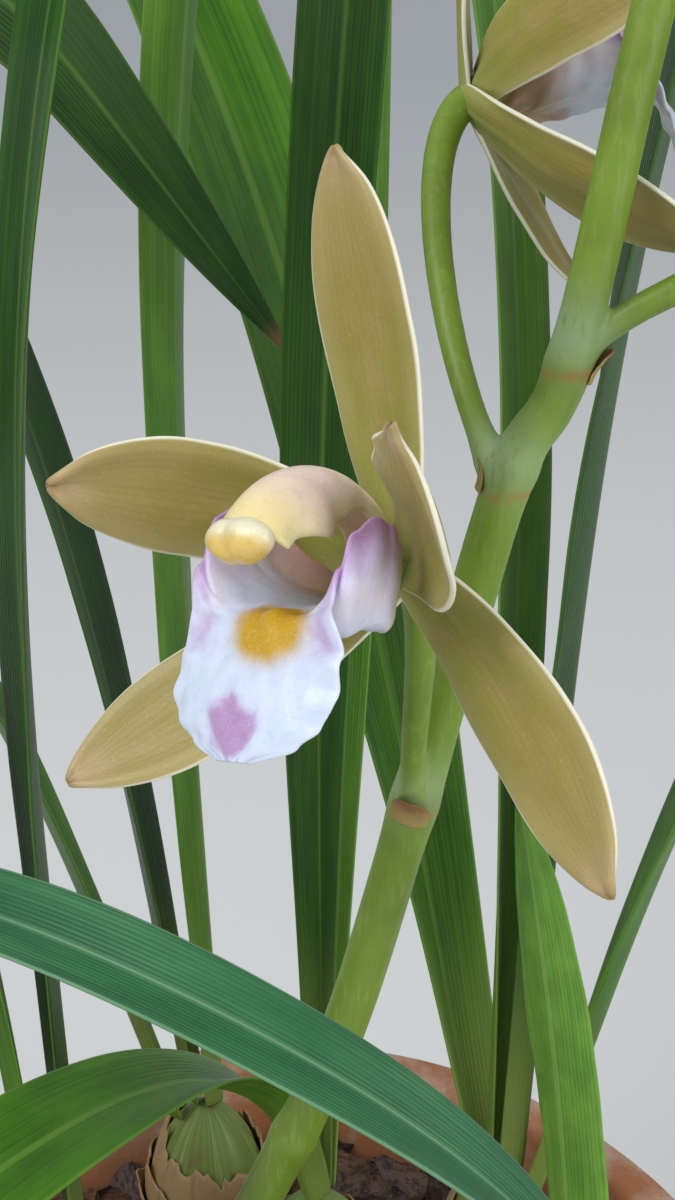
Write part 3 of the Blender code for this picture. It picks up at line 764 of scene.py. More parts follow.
# %% Colours of the lip
def lip_tint(seed):
    """A colour for each point of the lip, by its share of the length and place across."""
    white = Vector((0.68, 0.75, 0.92))
    lilac = Vector((0.56, 0.42, 0.68))
    mauve = Vector((0.46, 0.20, 0.46))
    yellow = Vector((0.60, 0.35, 0.008))
    throat_brown_and_shade = Vector((0.34, 0.16, 0.04))
    cream = Vector((0.80, 0.74, 0.58))
    peach = Vector((0.50, 0.30, 0.16))

    def tint(share, across):
        spot = Vector((share * 9, across * 3, seed * 7.1))
        rough = 0.30 * noise.noise(spot * 1.7) + 0.16 * noise.noise(spot * 5)
        side = abs(across)
        lobe = ease((side - 0.30) / 0.35) * ease((0.56 - share) / 0.08) * ease(share / 0.08)
        colour = white.lerp(cream, lobe * hump(side, 0.62, 0.16) * 0.5)
        colour = colour.lerp(lilac, lobe * min(1, ease((side - 0.66) / 0.3) + 0.38 + rough))
        edge = lobe * ease((side - 0.84 + rough * 0.2) / 0.14)
        colour = colour.lerp(mauve, 0.65 * edge)
        fleck = hump(share, 0.60, 0.10) * hump(side, 0.80, 0.22)
        colour = colour.lerp(mauve, max(0, min(0.55, fleck * (0.7 + 2 * rough) - 0.2)))
        blush = hump(share, BLUSH_AT, 0.12) * hump(across, 0.05, 0.42) + rough * 0.7
        colour = colour.lerp(mauve, 0.80 * ease((blush - 0.42) / 0.30))
        yolk = hump(share, YOLK_AT, 0.155) * hump(across, YOLK_ASIDE, 0.58) + rough * 0.22
        colour = colour.lerp(yellow, ease((yolk - 0.28) / 0.44))
        # Painted shade: the orange-brown throat is partly its own colour and partly shade painted
        # into the recess under the column.
        throat_and_shade = ease((0.34 - share) / 0.2) * ease((0.55 - side) / 0.3)
        colour = colour.lerp(throat_brown_and_shade, throat_and_shade * (0.8 + rough))
        return colour.lerp(peach, 0.8 * ease((0.22 - share) / 0.12))

    return tint


# %% Making a lip
def make_lip(name, seed):
    wave_place = Vector((seed * 3.1, 0, 0))

    def section_at(share, across):
        half_width, edge_angle = blend(LIP_STATIONS, share)
        side = abs(across)
        ragged = 1 + 0.025 * ripple(wave_place, share * 14, 9 * (across > 0), 0)
        tongue = ease((share - 0.50) / 0.12)
        lobe = ease(share / 0.2) * ease((0.58 - share) / 0.2)
        if across < 0:
            ragged += 0.12 * hump(share, 0.64, 0.10) + 0.10 * hump(share, 0.16, 0.06)
        else:
            ragged += 0.05 * hump(share, 0.84, 0.10) + 0.42 * hump(share, 0.12, 0.09)
        aside, lift = arc_section(half_width * ragged * MM, edge_angle, across)
        aside -= TONGUE_SHIFT * tongue
        if across < 0:
            slump = lobe * ease(side / 0.55)
            aside -= LOBE_SPREAD * slump * (1 - 0.85 * ease((side - 0.66) / 0.34))
            lift -= LOBE_SAG * slump + LOBE_BELLY * lobe * hump(side, 0.42, 0.22)
        wave = math.sin(2 * math.pi * share * LIP_WAVES + 2 * (across > 0))
        wave += 2.0 * ripple(wave_place, share * 16, across * 2, 4)
        lift += tongue * LIP_WAVE * wave * ease((side - 0.45) / 0.55) ** 1.5
        crumple = ripple(wave_place, share * 18, across * 2, 0)
        lift += (1 - tongue) * 0.4 * MM * crumple * side
        lift += KEEL_HEIGHT * hump(side, 0.15, 0.09) * hump(share, 0.36, 0.20)
        lift += YOLK_HEIGHT * hump(across, YOLK_ASIDE, 0.42) * hump(share, YOLK_AT, 0.08)
        lift += LIP_SWELL * ripple(wave_place, share * 12, across * 5, 8)
        return aside, lift, LOBE_REACH * lobe * hump(side, 0.62, 0.30)

    places = midrib(
        FORWARD * LIP_AHEAD - UP * LIP_BELOW,
        LIP_LENGTH,
        lambda share: (FORWARD, UP),
        lambda share: blend(LIP_BEND, share)[0],
        LIP_ROWS,
    )
    return make_blade(
        name, places, section_at, LIP_COLUMNS, LIP_ROWS, LIP_THICKNESS, 0.5, lip_tint(seed)
    )


# %% [markdown]
# ## Lip, column and cap finishes
# All three are painted by a tint on their points, because their colours lie in blotches and not
# in a pattern. The finish adds what the mesh is too coarse for: cells that glitter like frost,
# with their glints painted as pale spots in the colour, a fine mottle, and light scattered in the
# flesh.


# %% Waxy tinted finish
def waxy_finish(name, painted_glint_colour, painted_glint_share, rough_low, rough_high, scatter):
    material, tree, shader = new_finish(
        name,
        Subsurface_Weight=scatter,
        Subsurface_Radius=(1.0, 0.8, 0.7),
        Subsurface_Scale=1.2 * MM,
        Coat_Weight=0.12,
        Coat_Roughness=0.25,
    )
    tint = painted_tint(tree)
    mottle = cloudy(tree, object_place(tree), 900.0, 4.0, 0.6)
    deeper = toned(tree, tint, 0.93, 1.12)
    colour = mixed(tree, between(tree, mottle, 0.48, 0.75), tint, deeper)
    cells = cloudy(tree, object_place(tree), 4200.0, 2.0, 0.6)
    # Painted glints: pale spots in the colour stand in for light glinting off the waxy cells.
    painted_glint_mask = between(tree, cells, 0.58, 0.72)
    colour_by(tree, shader, laid_over(tree, colour, painted_glint_mask, painted_glint_share, painted_glint_colour))
    roughness_by(tree, shader, cells, rough_high, rough_low)
    raised = added(tree, scaled(tree, mottle, 0.7), cells, 0.5)
    relief(tree, shader, raised, 0.14 * MM, 0.55)
    return material


WAXY_LIP = waxy_finish("frosted_lip", (0.95, 0.96, 1.0), 0.20, 0.28, 0.55, 0.30)
WAXY_COLUMN = waxy_finish("waxy_column", (0.95, 0.88, 0.72), 0.25, 0.25, 0.45, 0.35)
WAXY_CAP = waxy_finish("waxy_cap", (0.98, 0.95, 0.80), 0.15, 0.12, 0.28, 0.30)
print("mixed", WAXY_LIP.name, WAXY_COLUMN.name, WAXY_CAP.name)

# %% [markdown]
# ## Column and anther cap
# The column is a hooded half tube that arches over the lip. It is thick along its back, and its
# two wings are thin, gently scalloped and spread widest a little before the tip. The anther cap
# hangs at its end like a button with a cleft down its middle, pale above and egg-yellow below.
# The cap starts as a sphere, because it has no edge, and the column as a blade.

# %% Sizes of the column and cap
COLUMN_LENGTH = 23 * MM
COLUMN_HALF_WIDTH = 5.2 * MM
COLUMN_RISE = 64
COLUMN_BEND = -116
COLUMN_CUP = 80
COLUMN_AHEAD = 2.8 * MM
COLUMN_ABOVE = 3.4 * MM
COLUMN_THICKNESS = 1.3 * MM
COLUMN_COLUMNS = 28
COLUMN_ROWS = 40
COLUMN_RIDGE = 0.35 * MM
WING_AT = 0.66
WING_SPREAD = 0.62
WING_DROOP = 14
CAP_HALF_SIZE = (4.048 * MM, 2.0 * MM, 2.2 * MM)
CAP_REACH = 0.4 * MM
CAP_SEAT = 0.40


# %% Making the column and cap
def column_tint(share, across):
    foot = Vector((0.78, 0.62, 0.42))
    back = Vector((0.94, 0.74, 0.66))
    tip = Vector((0.90, 0.74, 0.34))
    wing = Vector((0.86, 0.80, 0.44))
    colour = foot.lerp(back, ease(share / 0.45)).lerp(tip, ease((share - 0.62) / 0.36))
    rough = 0.3 * noise.noise(Vector((share * 8, across * 4, 2)))
    return colour.lerp(wing, 0.75 * ease((abs(across) - 0.62 + rough * 0.3) / 0.38))


def make_column(name, seed):
    scallop_place = Vector((seed * 2.3, 0, 0))

    def section_at(share, across):
        wide = COLUMN_HALF_WIDTH * (0.62 + 0.38 * math.sin(math.pi / 2 * share))
        side = abs(across)
        wide *= 1 + 0.05 * math.sin(share * 19 + 2 * (across > 0)) * side
        wing = hump(share, WING_AT, 0.24)
        wide *= 1 + WING_SPREAD * wing
        aside, lift = arc_section(wide, COLUMN_CUP + WING_DROOP * wing, across)
        ridge = COLUMN_RIDGE * hump(across, 0.0, 0.30)
        wave = ripple(scallop_place, share * 9, across * 2, 0)
        return aside, ridge - lift + 0.5 * MM * wave * side, 0.0

    places = midrib(
        FORWARD * COLUMN_AHEAD + UP * COLUMN_ABOVE,
        COLUMN_LENGTH,
        lambda share: (FORWARD, UP),
        lambda share: COLUMN_RISE + COLUMN_BEND * share,
        COLUMN_ROWS,
    )
    column = make_blade(
        name, places, section_at, COLUMN_COLUMNS, COLUMN_ROWS, COLUMN_THICKNESS, 0.4,
        column_tint,
    )
    return column, places[-1]


def make_cap(name, column_tip):
    tip, side, normal = column_tip
    along = normal.cross(side)
    half_width, half_length, half_height = CAP_HALF_SIZE
    let_go()
    bpy.ops.mesh.primitive_uv_sphere_add(segments=48, ring_count=32, radius=1)
    cap = bpy.context.object
    cap.name = name
    cream, yellow = Vector((0.86, 0.81, 0.58)), Vector((0.80, 0.56, 0.15))
    colours = []
    for vertex in cap.data.vertices:
        x, y, z = vertex.co
        cleft = hump(y, 0.0, 0.13) * ease((x + 0.5) / 0.9)
        plump = 1 + 0.07 * hump(abs(y), 0.42, 0.25)
        beak = 0.22 * hump(y, 0.0, 0.30) * ease(x)
        reach = CAP_REACH + half_length * (x * plump * (1 - 0.10 * cleft) + beak * 0.4)
        height = half_height * (z * plump * (1 - 0.20 * cleft) - beak - CAP_SEAT)
        vertex.co = tip + along * reach + side * y * half_width + normal * height
        belly = ease((x + 0.1) / 0.75)
        colours.append(cream.lerp(yellow, max(belly, 0.5 * cleft)))
    paint(cap, "tint", colours)
    face_outwards(cap)
    return cap


# %% All the flowers
for number, (joint, middle, yaw, pitch, roll, heading, opening) in enumerate(FLOWERS, 1):
    turn = flower_turn(yaw, pitch, roll)
    place = Matrix.Translation(above_bark(middle)) @ turn.to_4x4()
    for index, (part, spec) in enumerate(TEPALS.items()):
        node, is_petal, seed = f"flower_{number}_{part}", part.endswith("petal"), number * 5 + index
        tepal = make_tepal(f"{node}_blade", spec, is_petal, opening, seed)
        set_in_place(tepal, place)
        stand_for(tepal, node, "tepal", KHAKI)
    lip = make_lip(f"flower_{number}_lip_blade", number)
    set_in_place(lip, place)
    stand_for(lip, f"flower_{number}_lip", "lip", WAXY_LIP)
    column, column_tip = make_column(f"flower_{number}_column_hood", number)
    cap = make_cap(f"flower_{number}_cap_button", column_tip)
    set_in_place(column, place)
    set_in_place(cap, place)
    stand_for(column, f"flower_{number}_column", "column", WAXY_COLUMN)
    stand_for(cap, f"flower_{number}_anther_cap", "cap", WAXY_CAP)

# %% [markdown]
# ## Tubes
# The stalk, the flowers' own stems and the buds are round. A tube starts as the same flat grid,
# rolled up along a route that is kept from twisting. Its seam is then merged and its ends are
# filled. A bevelled curve gives the same tube, but rolling a grid allows ribs and swellings
# at any height.


# %% Routes
def smooth_route(points, steps):
    """A curve through the points, with that many steps between neighbours (Catmull-Rom)."""
    ends = [2 * points[0] - points[1], *points, 2 * points[-1] - points[-2]]
    route = []
    for a, b, c, d in zip(ends, ends[1:], ends[2:], ends[3:]):
        for step in range(steps):
            t = step / steps
            linear, square, cube = c - a, 2 * a - 5 * b + 4 * c - d, 3 * (b - c) + d - a
            route.append(b + 0.5 * (linear * t + square * t**2 + cube * t**3))
    return route + [points[-1].copy()]


def hermite(start, start_pull, end, end_pull, steps):
    """Points on a curve that leaves its start along one pull and meets its end along the other."""
    points = []
    for step in range(steps + 1):
        t = step / steps
        points.append(
            start * (2 * t**3 - 3 * t**2 + 1)
            + start_pull * (t**3 - 2 * t**2 + t)
            + end * (3 * t**2 - 2 * t**3)
            + end_pull * (t**3 - t**2)
        )
    return points


def walk(points, side):
    """Places along a route, each (point, side, normal), that don't twist about it."""
    places = []
    for index, point in enumerate(points):
        before, after = points[max(0, index - 1)], points[min(len(points) - 1, index + 1)]
        along = (after - before).normalized()
        side = (side - along * side.dot(along)).normalized()
        places.append((point, side, along.cross(side)))
    return places


# %% Making a tube
def make_tube(name, points, radius_at, sides, side=Vector((1, 0, 0))):
    """A closed tube. radius_at(share, angle) gives its radius along and round it."""
    tube = flat_grid(name, sides, len(points) - 1)
    places = walk(points, side)
    last = len(places) - 1
    for vertex in tube.data.vertices:
        angle, share = math.pi * vertex.co.x, (vertex.co.y + 1) / 2
        point, aside, normal = places[round(share * last)]
        radius = radius_at(share, angle)
        vertex.co = point + radius * (math.cos(angle) * aside + math.sin(angle) * normal)
    take(tube)
    bpy.ops.object.mode_set(mode="EDIT")
    bpy.ops.mesh.select_all(action="SELECT")
    bpy.ops.mesh.remove_doubles(threshold=0.01 * MM)
    bpy.ops.mesh.select_all(action="SELECT")
    bpy.ops.mesh.fill_holes(sides=0)
    face_outwards(tube)
    return tube


# %% [markdown]
# ## Stalk
# The stalk leans out of the fan and steps a little at each joint. There a flower's own stem
# leaves it over a swollen knuckle, above the remains of a small brown bract. It all grew as one,
# so the tubes are joined, remeshed into one skin and smoothed, which leaves a soft fillet in
# every fork, where a boolean would leave a crease. A bud's row gives the joint that it grows
# from, its middle, its radius and length, and where its stem sets out.

# %% Route and sizes of the stalk
STALK_ROUTE = (
    (-19, -15, -7),
    (-16, -17, 25),
    (-9, -21, 58),
    (1.5, -25, 86),
    (12, -28, 115),
    (21, -31, 153),
    (30.4, -31, 193.5),
    (36.6, -30, 207),
    (43.7, -26, 243.5),
    (50, -22, 267),
    (56, -19, 289),
    (61, -17, 309),
    (64, -16, 325),
)
STALK_HEIGHT = 340 * MM
STALK_FOOT_RADIUS = 3.3 * MM
STALK_TIP_RADIUS = 1.4 * MM
STALK_SKIN = 0.4 * MM
BUDS = (
    (9, (35, -34, 283), 3.6, 17, 200),
    (10, (70, -11, 306), 3.2, 15, 20),
    (11, (51, -25, 326), 2.8, 13, 210),
    (12, (67, -14, 340), 2.3, 11, 60),
)
STEM_HEADINGS = {flower[0]: flower[5] for flower in FLOWERS} | {bud[0]: bud[4] for bud in BUDS}
STALK_JOINTS = (1, 2, 3.4, 5, 6.1, 7, 9, 10, 11)
STALK_STEPS = 10
STALK_SIDES = 28
STALK_KNUCKLE = 0.13
STEM_STEPS = 28
STEM_SIDES = 20
STEM_KNUCKLE = 0.9 * MM
STEM_INTO_BUD = 1.5 * MM
PEDICEL_RADIUS = 1.45 * MM
OVARY_RADIUS = 2.2 * MM
RECEPTACLE_AHEAD = 1.2 * MM


def stalk_radius(share):
    return STALK_FOOT_RADIUS + (STALK_TIP_RADIUS - STALK_FOOT_RADIUS) * share**1.6


def bud_axis(heading):
    return (heading_vector(heading) * 0.5 + UP).normalized()


def make_pedicel(name, joint, end, end_pull, end_radius):
    node = above_bark(STALK_ROUTE[joint])
    reach = (end - node).length
    start_pull = (heading_vector(STEM_HEADINGS[joint]) + UP * 1.4).normalized() * reach * 0.8
    points = hermite(node, start_pull, end, end_pull * reach * 0.6, STEM_STEPS)

    def radius_at(share, angle):
        swell = PEDICEL_RADIUS + (end_radius - PEDICEL_RADIUS) * share**1.5
        knuckle = STEM_KNUCKLE * hump(share, 0.04, 0.07)
        tip = math.sqrt(max(0.02, 1 - max(0.0, (share - 0.93) / 0.07) ** 2))
        return (swell + knuckle) * (1 + 0.05 * math.cos(3 * angle) * share) * tip

    return make_tube(name, points, radius_at, STEM_SIDES)


# %% Making the stalk
stalk_line = smooth_route([above_bark(place) for place in STALK_ROUTE], STALK_STEPS)
print("the stalk's route has", len(stalk_line), "points")


def main_radius(share, angle):
    place = share * (len(STALK_ROUTE) - 1)
    knuckle = sum(hump(place, joint, 0.09) for joint in STALK_JOINTS)
    ribs = 0.012 * math.cos(7 * angle + 3 * place)
    return stalk_radius(share) * (1 + STALK_KNUCKLE * min(knuckle, 1) + ribs)


stalk = make_tube("stalk_skin", stalk_line, main_radius, STALK_SIDES)
stems = []
for number, (joint, middle, yaw, pitch, roll, heading, opening) in enumerate(FLOWERS, 1):
    facing = flower_turn(yaw, pitch, roll) @ FORWARD
    end = above_bark(middle) + facing * RECEPTACLE_AHEAD
    stems.append(make_pedicel(f"pedicel_{number}", joint, end, facing, OVARY_RADIUS))
for number, (joint, middle, radius, length, heading) in enumerate(BUDS, 1):
    along = bud_axis(heading)
    end = above_bark(middle) - along * (length * MM / 2 - STEM_INTO_BUD)
    stems.append(make_pedicel(f"bud_stem_{number}", joint, end, along, PEDICEL_RADIUS))
join_all(stalk, stems)
skin = stalk.modifiers.new("Skin", "REMESH")
skin.mode = "VOXEL"
skin.voxel_size = STALK_SKIN
soft = stalk.modifiers.new("Soften", "SMOOTH")
soft.factor = 0.5
soft.iterations = 6
apply_modifiers(stalk)
print("skin of the stalk:", len(stalk.data.polygons), "faces")

# %% [markdown]
# ## Stalk finish
# A yellow-green skin with long pale streaks, dotted with fine lenticels. It is whitish over each
# knuckle, partly its own bloom and partly a painted highlight, and flushed brown in the scar at
# the joint, so those two are painted as a tint that follows how near a point is to a joint.


# %% Green of the stalk
def stalk_finish():
    material, tree, shader = new_finish(
        "stalk_green",
        Specular_IOR_Level=0.30,
        Subsurface_Weight=0.12,
        Subsurface_Radius=(0.6, 1.0, 0.2),
        Subsurface_Scale=1.0 * MM,
        Coat_Weight=0.10,
        Coat_Roughness=0.3,
    )
    tint = painted_tint(tree)
    streaks = cloudy(tree, object_place(tree, (1, 1, 0.10)), 1400.0, 4.0, 0.6)
    clouds = cloudy(tree, object_place(tree), 60.0, 3.0)
    pale = laid_over(tree, tint, between(tree, streaks, 0.50, 0.72), 1.0, (0.23, 0.33, 0.06))
    colour = mixed(tree, between(tree, clouds, 0.40, 0.72), pale, toned(tree, pale, 0.72))
    cells = cloudy(tree, object_place(tree), 3200.0, 2.0)
    dots = between(tree, cells, 0.66, 0.74)
    colour_by(tree, shader, laid_over(tree, colour, dots, 0.25, (0.42, 0.48, 0.18)))
    roughness_by(tree, shader, streaks, 0.32, 0.5)
    relief(tree, shader, added(tree, streaks, cells, 0.5), 0.12 * MM, 0.5)
    return material


BLOOM_AND_HIGHLIGHT_ABOVE = 3.5 * MM
BLOOM_AND_HIGHLIGHT_SPREAD = 4.2 * MM
SCAR_BELOW = 0.5 * MM
SCAR_HEIGHT = 0.6 * MM
SCAR_SPREAD = 4 * MM


def stalk_tint(place):
    green = Vector((0.155, 0.255, 0.018))
    tip = Vector((0.20, 0.30, 0.035))
    white = Vector((0.42, 0.54, 0.32))
    scar = Vector((0.42, 0.17, 0.05))
    height = (place.z - BARK_TOP) / STALK_HEIGHT
    colour = green.lerp(tip, max(0.0, min(1.0, height)))
    rough = noise.noise(place * 700)
    for joint_number in STEM_HEADINGS:
        joint = above_bark(STALK_ROUTE[joint_number])
        near = (place - joint - UP * BLOOM_AND_HIGHLIGHT_ABOVE).length
        # Whitish over the knuckle: partly bloom, partly a painted highlight.
        colour = colour.lerp(white, 0.80 * hump(near, 0, BLOOM_AND_HIGHLIGHT_SPREAD))
        ring = hump(place.z, joint.z - SCAR_BELOW, SCAR_HEIGHT)
        ring *= hump((place - joint).length, 0, SCAR_SPREAD)
        colour = colour.lerp(scar, min(1.0, ring * (0.8 + rough)))
    return colour


STALK_GREEN = stalk_finish()
paint(stalk, "tint", [stalk_tint(vertex.co) for vertex in stalk.data.vertices])

# %% [markdown]
# ## Bracts
# Two papery bracts sheath the foot of the stalk, and each joint above but the top one keeps a
# small dry scale. All are blades that wrap round the stalk, ending in a point. A row gives a
# bract's share of the stalk's length, its own length and its heading.

# %% Sizes of the bracts
STALK_BRACTS = ((0.09, 26 * MM, 200), (0.17, 25 * MM, 20))
BRACT_GAP = 0.5 * MM
BRACT_THICKNESS = 0.7 * MM
BRACT_WRAP = 118
BRACT_LEAN = 14
BRACT_COLUMNS = 20
BRACT_ROWS = 24
SCALE_LENGTH = 4.5 * MM
SCALE_THICKNESS = 0.35 * MM
SCALE_WRAP = 48
SCALE_LEAN = 50


def make_bract(name, foot, along, out, radius, length, wrap, lean, thickness):
    out = (out - along * out.dot(along)).normalized()
    places = midrib(
        foot + out * radius,
        length,
        lambda share: (along, out),
        lambda share: lean * share,
        BRACT_ROWS,
    )

    def section_at(share, across):
        wide = math.radians(wrap) * radius * petal_outline(share, 0.95, 0.3)
        frill = 0.15 * MM * noise.noise(Vector((share * 7, across * 4, length * 900)))
        aside, lift = arc_section(wide, wrap * (1 - 0.45 * share), across)
        return aside, -lift + frill * abs(across), 0.0

    return make_blade(name, places, section_at, BRACT_COLUMNS, BRACT_ROWS, thickness, 0.5)


def bract_finish(name, green, straw):
    material, tree, shader = new_finish(name, Roughness=0.6)
    across, along = across_and_along(tree)
    fibres = cloudy(tree, blade_place(tree, (46, 2, 1)), 1.0, 5.0, 0.65)
    age = added(tree, along, fibres, 0.5)
    base = mixed(tree, between(tree, age, 0.45, 1.15), (*green, 1), (*straw, 1))
    lines = between(tree, fibres, 0.52, 0.66)
    dark = toned(tree, base, 0.62)
    colour_by(tree, shader, mixed(tree, scaled(tree, lines, 0.6), base, dark))
    relief(tree, shader, fibres, 0.2 * MM, 0.7)
    return material


PAPERY_BRACT = bract_finish("papery_bract", (0.30, 0.36, 0.10), (0.46, 0.33, 0.16))
DRY_SCALE = bract_finish("dry_scale", (0.36, 0.26, 0.08), (0.30, 0.14, 0.06))
print("mixed", PAPERY_BRACT.name, DRY_SCALE.name)

# %% Making the bracts and scales
HALF_SPANS = 2 * (len(STALK_ROUTE) - 1)
for number, (share, length, heading) in enumerate(STALK_BRACTS, 1):
    step = round(share * HALF_SPANS) * STALK_STEPS // 2
    foot = stalk_line[step]
    along = (stalk_line[step + STALK_STEPS] - foot).normalized()
    radius = stalk_radius(share) + BRACT_GAP + BRACT_THICKNESS
    bract = make_bract(
        f"bract_sheath_{number}", foot, along, heading_vector(heading), radius, length,
        BRACT_WRAP, BRACT_LEAN, BRACT_THICKNESS,
    )
    stand_for(bract, f"stalk_bract_{number}", "bract", PAPERY_BRACT)

scales = []
for joint, heading in list(STEM_HEADINGS.items())[:-1]:
    step = joint * STALK_STEPS
    along = (stalk_line[step + 5] - stalk_line[step - 2]).normalized()
    foot = stalk_line[step] - along * 1.5 * MM
    radius = stalk_radius(step / (len(stalk_line) - 1)) * 1.1 + 0.1 * MM
    scales.append(
        make_bract(
            f"joint_scale_{joint}", foot, along, heading_vector(heading), radius, SCALE_LENGTH,
            SCALE_WRAP, SCALE_LEAN, SCALE_THICKNESS,
        )
    )
stalk.data.materials.append(STALK_GREEN)
for scale in scales:
    scale.data.materials.append(DRY_SCALE)
join_all(stalk, scales)
stand_for(stalk, "flower_stalk", "stalk")

# %% [markdown]
# ## Buds
# A bud is three closed sepals, so it is a spindle with three soft seams, bowed a little. It is
# green at its foot and khaki, flushed with pink, towards its point.


# %% Green and pink of the buds
def bud_finish():
    material, tree, shader = new_finish(
        "bud_green", Subsurface_Weight=0.15, Subsurface_Radius=(1.0, 0.8, 0.3),
        Subsurface_Scale=1.0 * MM,
    )
    across, along = across_and_along(tree)
    wash = shades(
        tree,
        along,
        (0.0, (0.22, 0.30, 0.06)),
        (0.45, (0.34, 0.36, 0.10)),
        (0.85, (0.42, 0.32, 0.14)),
        (1.0, (0.46, 0.28, 0.18)),
    )
    streaks = cloudy(tree, blade_place(tree, (30, 2, 1)), 1.0, 5.0, 0.6)
    veined = laid_over(tree, wash, between(tree, streaks, 0.50, 0.68), 1.0, (0.24, 0.20, 0.05))
    seam_wave = sums(tree, "SINE", scaled(tree, across, 6 * math.pi))
    seam = between(tree, sums(tree, "ABSOLUTE", seam_wave), 0.16, 0.02)
    colour_by(tree, shader, laid_over(tree, veined, seam, 0.5, (0.62, 0.56, 0.34)))
    cells = cloudy(tree, object_place(tree), 3500.0, 2.0)
    roughness_by(tree, shader, cells, 0.6, 0.35)
    relief(tree, shader, added(tree, streaks, cells), 0.1 * MM, 0.5)
    return material


BUD_GREEN = bud_finish()
BUD_STEPS = 40
BUD_SIDES = 48
BUD_BOW = 2 * MM
print("mixed", BUD_GREEN.name)

# %% All the buds
for number, (joint, middle, radius, length, heading) in enumerate(BUDS, 1):
    half = bud_axis(heading) * length * MM / 2
    out = heading_vector(heading)
    line = []
    for step in range(BUD_STEPS + 1):
        share = step / BUD_STEPS
        line.append(above_bark(middle) + half * (2 * share - 1) + out * (share - share**2) * BUD_BOW)

    def bud_radius(share, angle):
        full = math.sin(math.pi * share**0.8) ** 0.7 if 0 < share < 1 else 0.0
        seam = abs(math.sin(1.5 * angle))
        return radius * MM * max(0.04, full) * (0.90 + 0.10 * min(1.0, seam * 2.5))

    bud = make_tube(f"bud_spindle_{number}", line, bud_radius, BUD_SIDES, out)
    stand_for(bud, f"bud_{number}", "tepal", BUD_GREEN)

# %% [markdown]
# ## Pseudobulbs
# A pseudobulb is a swollen stem, shaped like an egg and ribbed along its length. Old leaf bases
# wrap it, dry to straw and tear into fibres. The bulb is a sphere whose points are moved onto
# the egg's profile, and the old bases are blades wrapped round it, each a little wider and lower
# than the one inside it.


# %% Finishes of the bulb and its old sheaths
def bulb_finish():
    material, tree, shader = new_finish("bulb_green", Coat_Weight=0.12, Coat_Roughness=0.35)
    across, along = across_and_along(tree)
    streaks = cloudy(tree, blade_place(tree, (80, 2, 1)), 1.0, 5.0, 0.6)
    clouds = cloudy(tree, object_place(tree), 110.0, 4.0)
    base = shades(
        tree,
        along,
        (0.0, (0.30, 0.26, 0.09)),
        (0.35, (0.20, 0.28, 0.05)),
        (1.0, (0.13, 0.22, 0.035)),
    )
    lined = laid_over(tree, base, between(tree, streaks, 0.48, 0.70), 1.0, (0.32, 0.38, 0.12))
    brown = laid_over(tree, lined, between(tree, clouds, 0.58, 0.74), 1.0, (0.22, 0.13, 0.05))
    colour_by(tree, shader, brown)
    roughness_by(tree, shader, clouds, 0.38, 0.6)
    relief(tree, shader, added(tree, streaks, clouds), 0.25 * MM, 0.6)
    return material


BULB_GREEN = bulb_finish()
OLD_SHEATH = bract_finish("old_sheath", (0.36, 0.30, 0.12), (0.42, 0.27, 0.13))


# %% Making a pseudobulb
BULB_RIBS = 11
BULB_RIB_DEPTH = 0.055
SHEATHS_PER_BULB = 3
SHEATH_FOOT = 0.16
SHEATH_THICKNESS = 0.3 * MM


def bulb_height(share, height):
    return (height + BULB_BURIED) * share - BULB_BURIED


def make_bulb(number, spec):
    x, y, radius, height = (value * MM for value in spec)
    let_go()
    bpy.ops.mesh.primitive_uv_sphere_add(segments=72, ring_count=44, radius=1)
    bulb = bpy.context.object
    bulb.name = f"bulb_{number}"
    middle = Vector((x, y, BARK_TOP))
    for vertex in bulb.data.vertices:
        share = (vertex.co.z + 1) / 2
        angle = math.atan2(vertex.co.y, vertex.co.x)
        flat = math.hypot(vertex.co.x, vertex.co.y)
        wander = 2 * noise.noise(Vector((number * 3, share * 2, 0)))
        rib = 0.5 + 0.5 * math.cos(BULB_RIBS * angle + wander)
        wide = bulb_radius(share, radius) * (1 - BULB_RIB_DEPTH * (1 - rib) ** 2)
        wide = 0.0 if flat < 0.01 else wide
        spot = Vector((wide * math.cos(angle), wide * math.sin(angle), bulb_height(share, height)))
        vertex.co = middle + spot
    return bulb


def make_sheath(number, layer, spec):
    """An old leaf base: it wraps most of the way round the bulb and ends in torn fibres."""
    x, y, radius, height = (value * MM for value in spec)
    middle = Vector((x, y, BARK_TOP))
    turn = random.Random(number * 10 + layer).uniform(0, 2 * math.pi)
    reach = 0.80 - 0.17 * layer
    sheet = flat_grid(f"sheath_{number}_{layer}", 72, 20)
    for vertex in sheet.data.vertices:
        across, along = vertex.co.x, (vertex.co.y + 1) / 2
        tear = noise.noise(Vector((across * 9, layer * 4, number * 2.3)))
        tear += 0.6 * noise.noise(Vector((across * 34, layer, number)))
        top = reach * (1 + 0.16 * tear) * (1 - 0.25 * across**2)
        share = SHEATH_FOOT + (top - SHEATH_FOOT) * along
        peel = 1.4 * MM * max(0.0, tear + 0.2) * ease((along - 0.6) / 0.4)
        gap = (0.35 + 0.75 * layer) * MM + peel
        crease = 0.25 * MM * math.sin(26 * across + 4 * along)
        wide = bulb_radius(share, radius) + gap + crease * along
        angle = turn + across * math.radians(172 - 14 * layer)
        rise = bulb_height(share, height)
        vertex.co = middle + Vector((wide * math.cos(angle), wide * math.sin(angle), rise))
    wall = sheet.modifiers.new("Wall", "SOLIDIFY")
    wall.thickness = SHEATH_THICKNESS
    wall.offset = 0
    apply_modifiers(sheet)
    return sheet


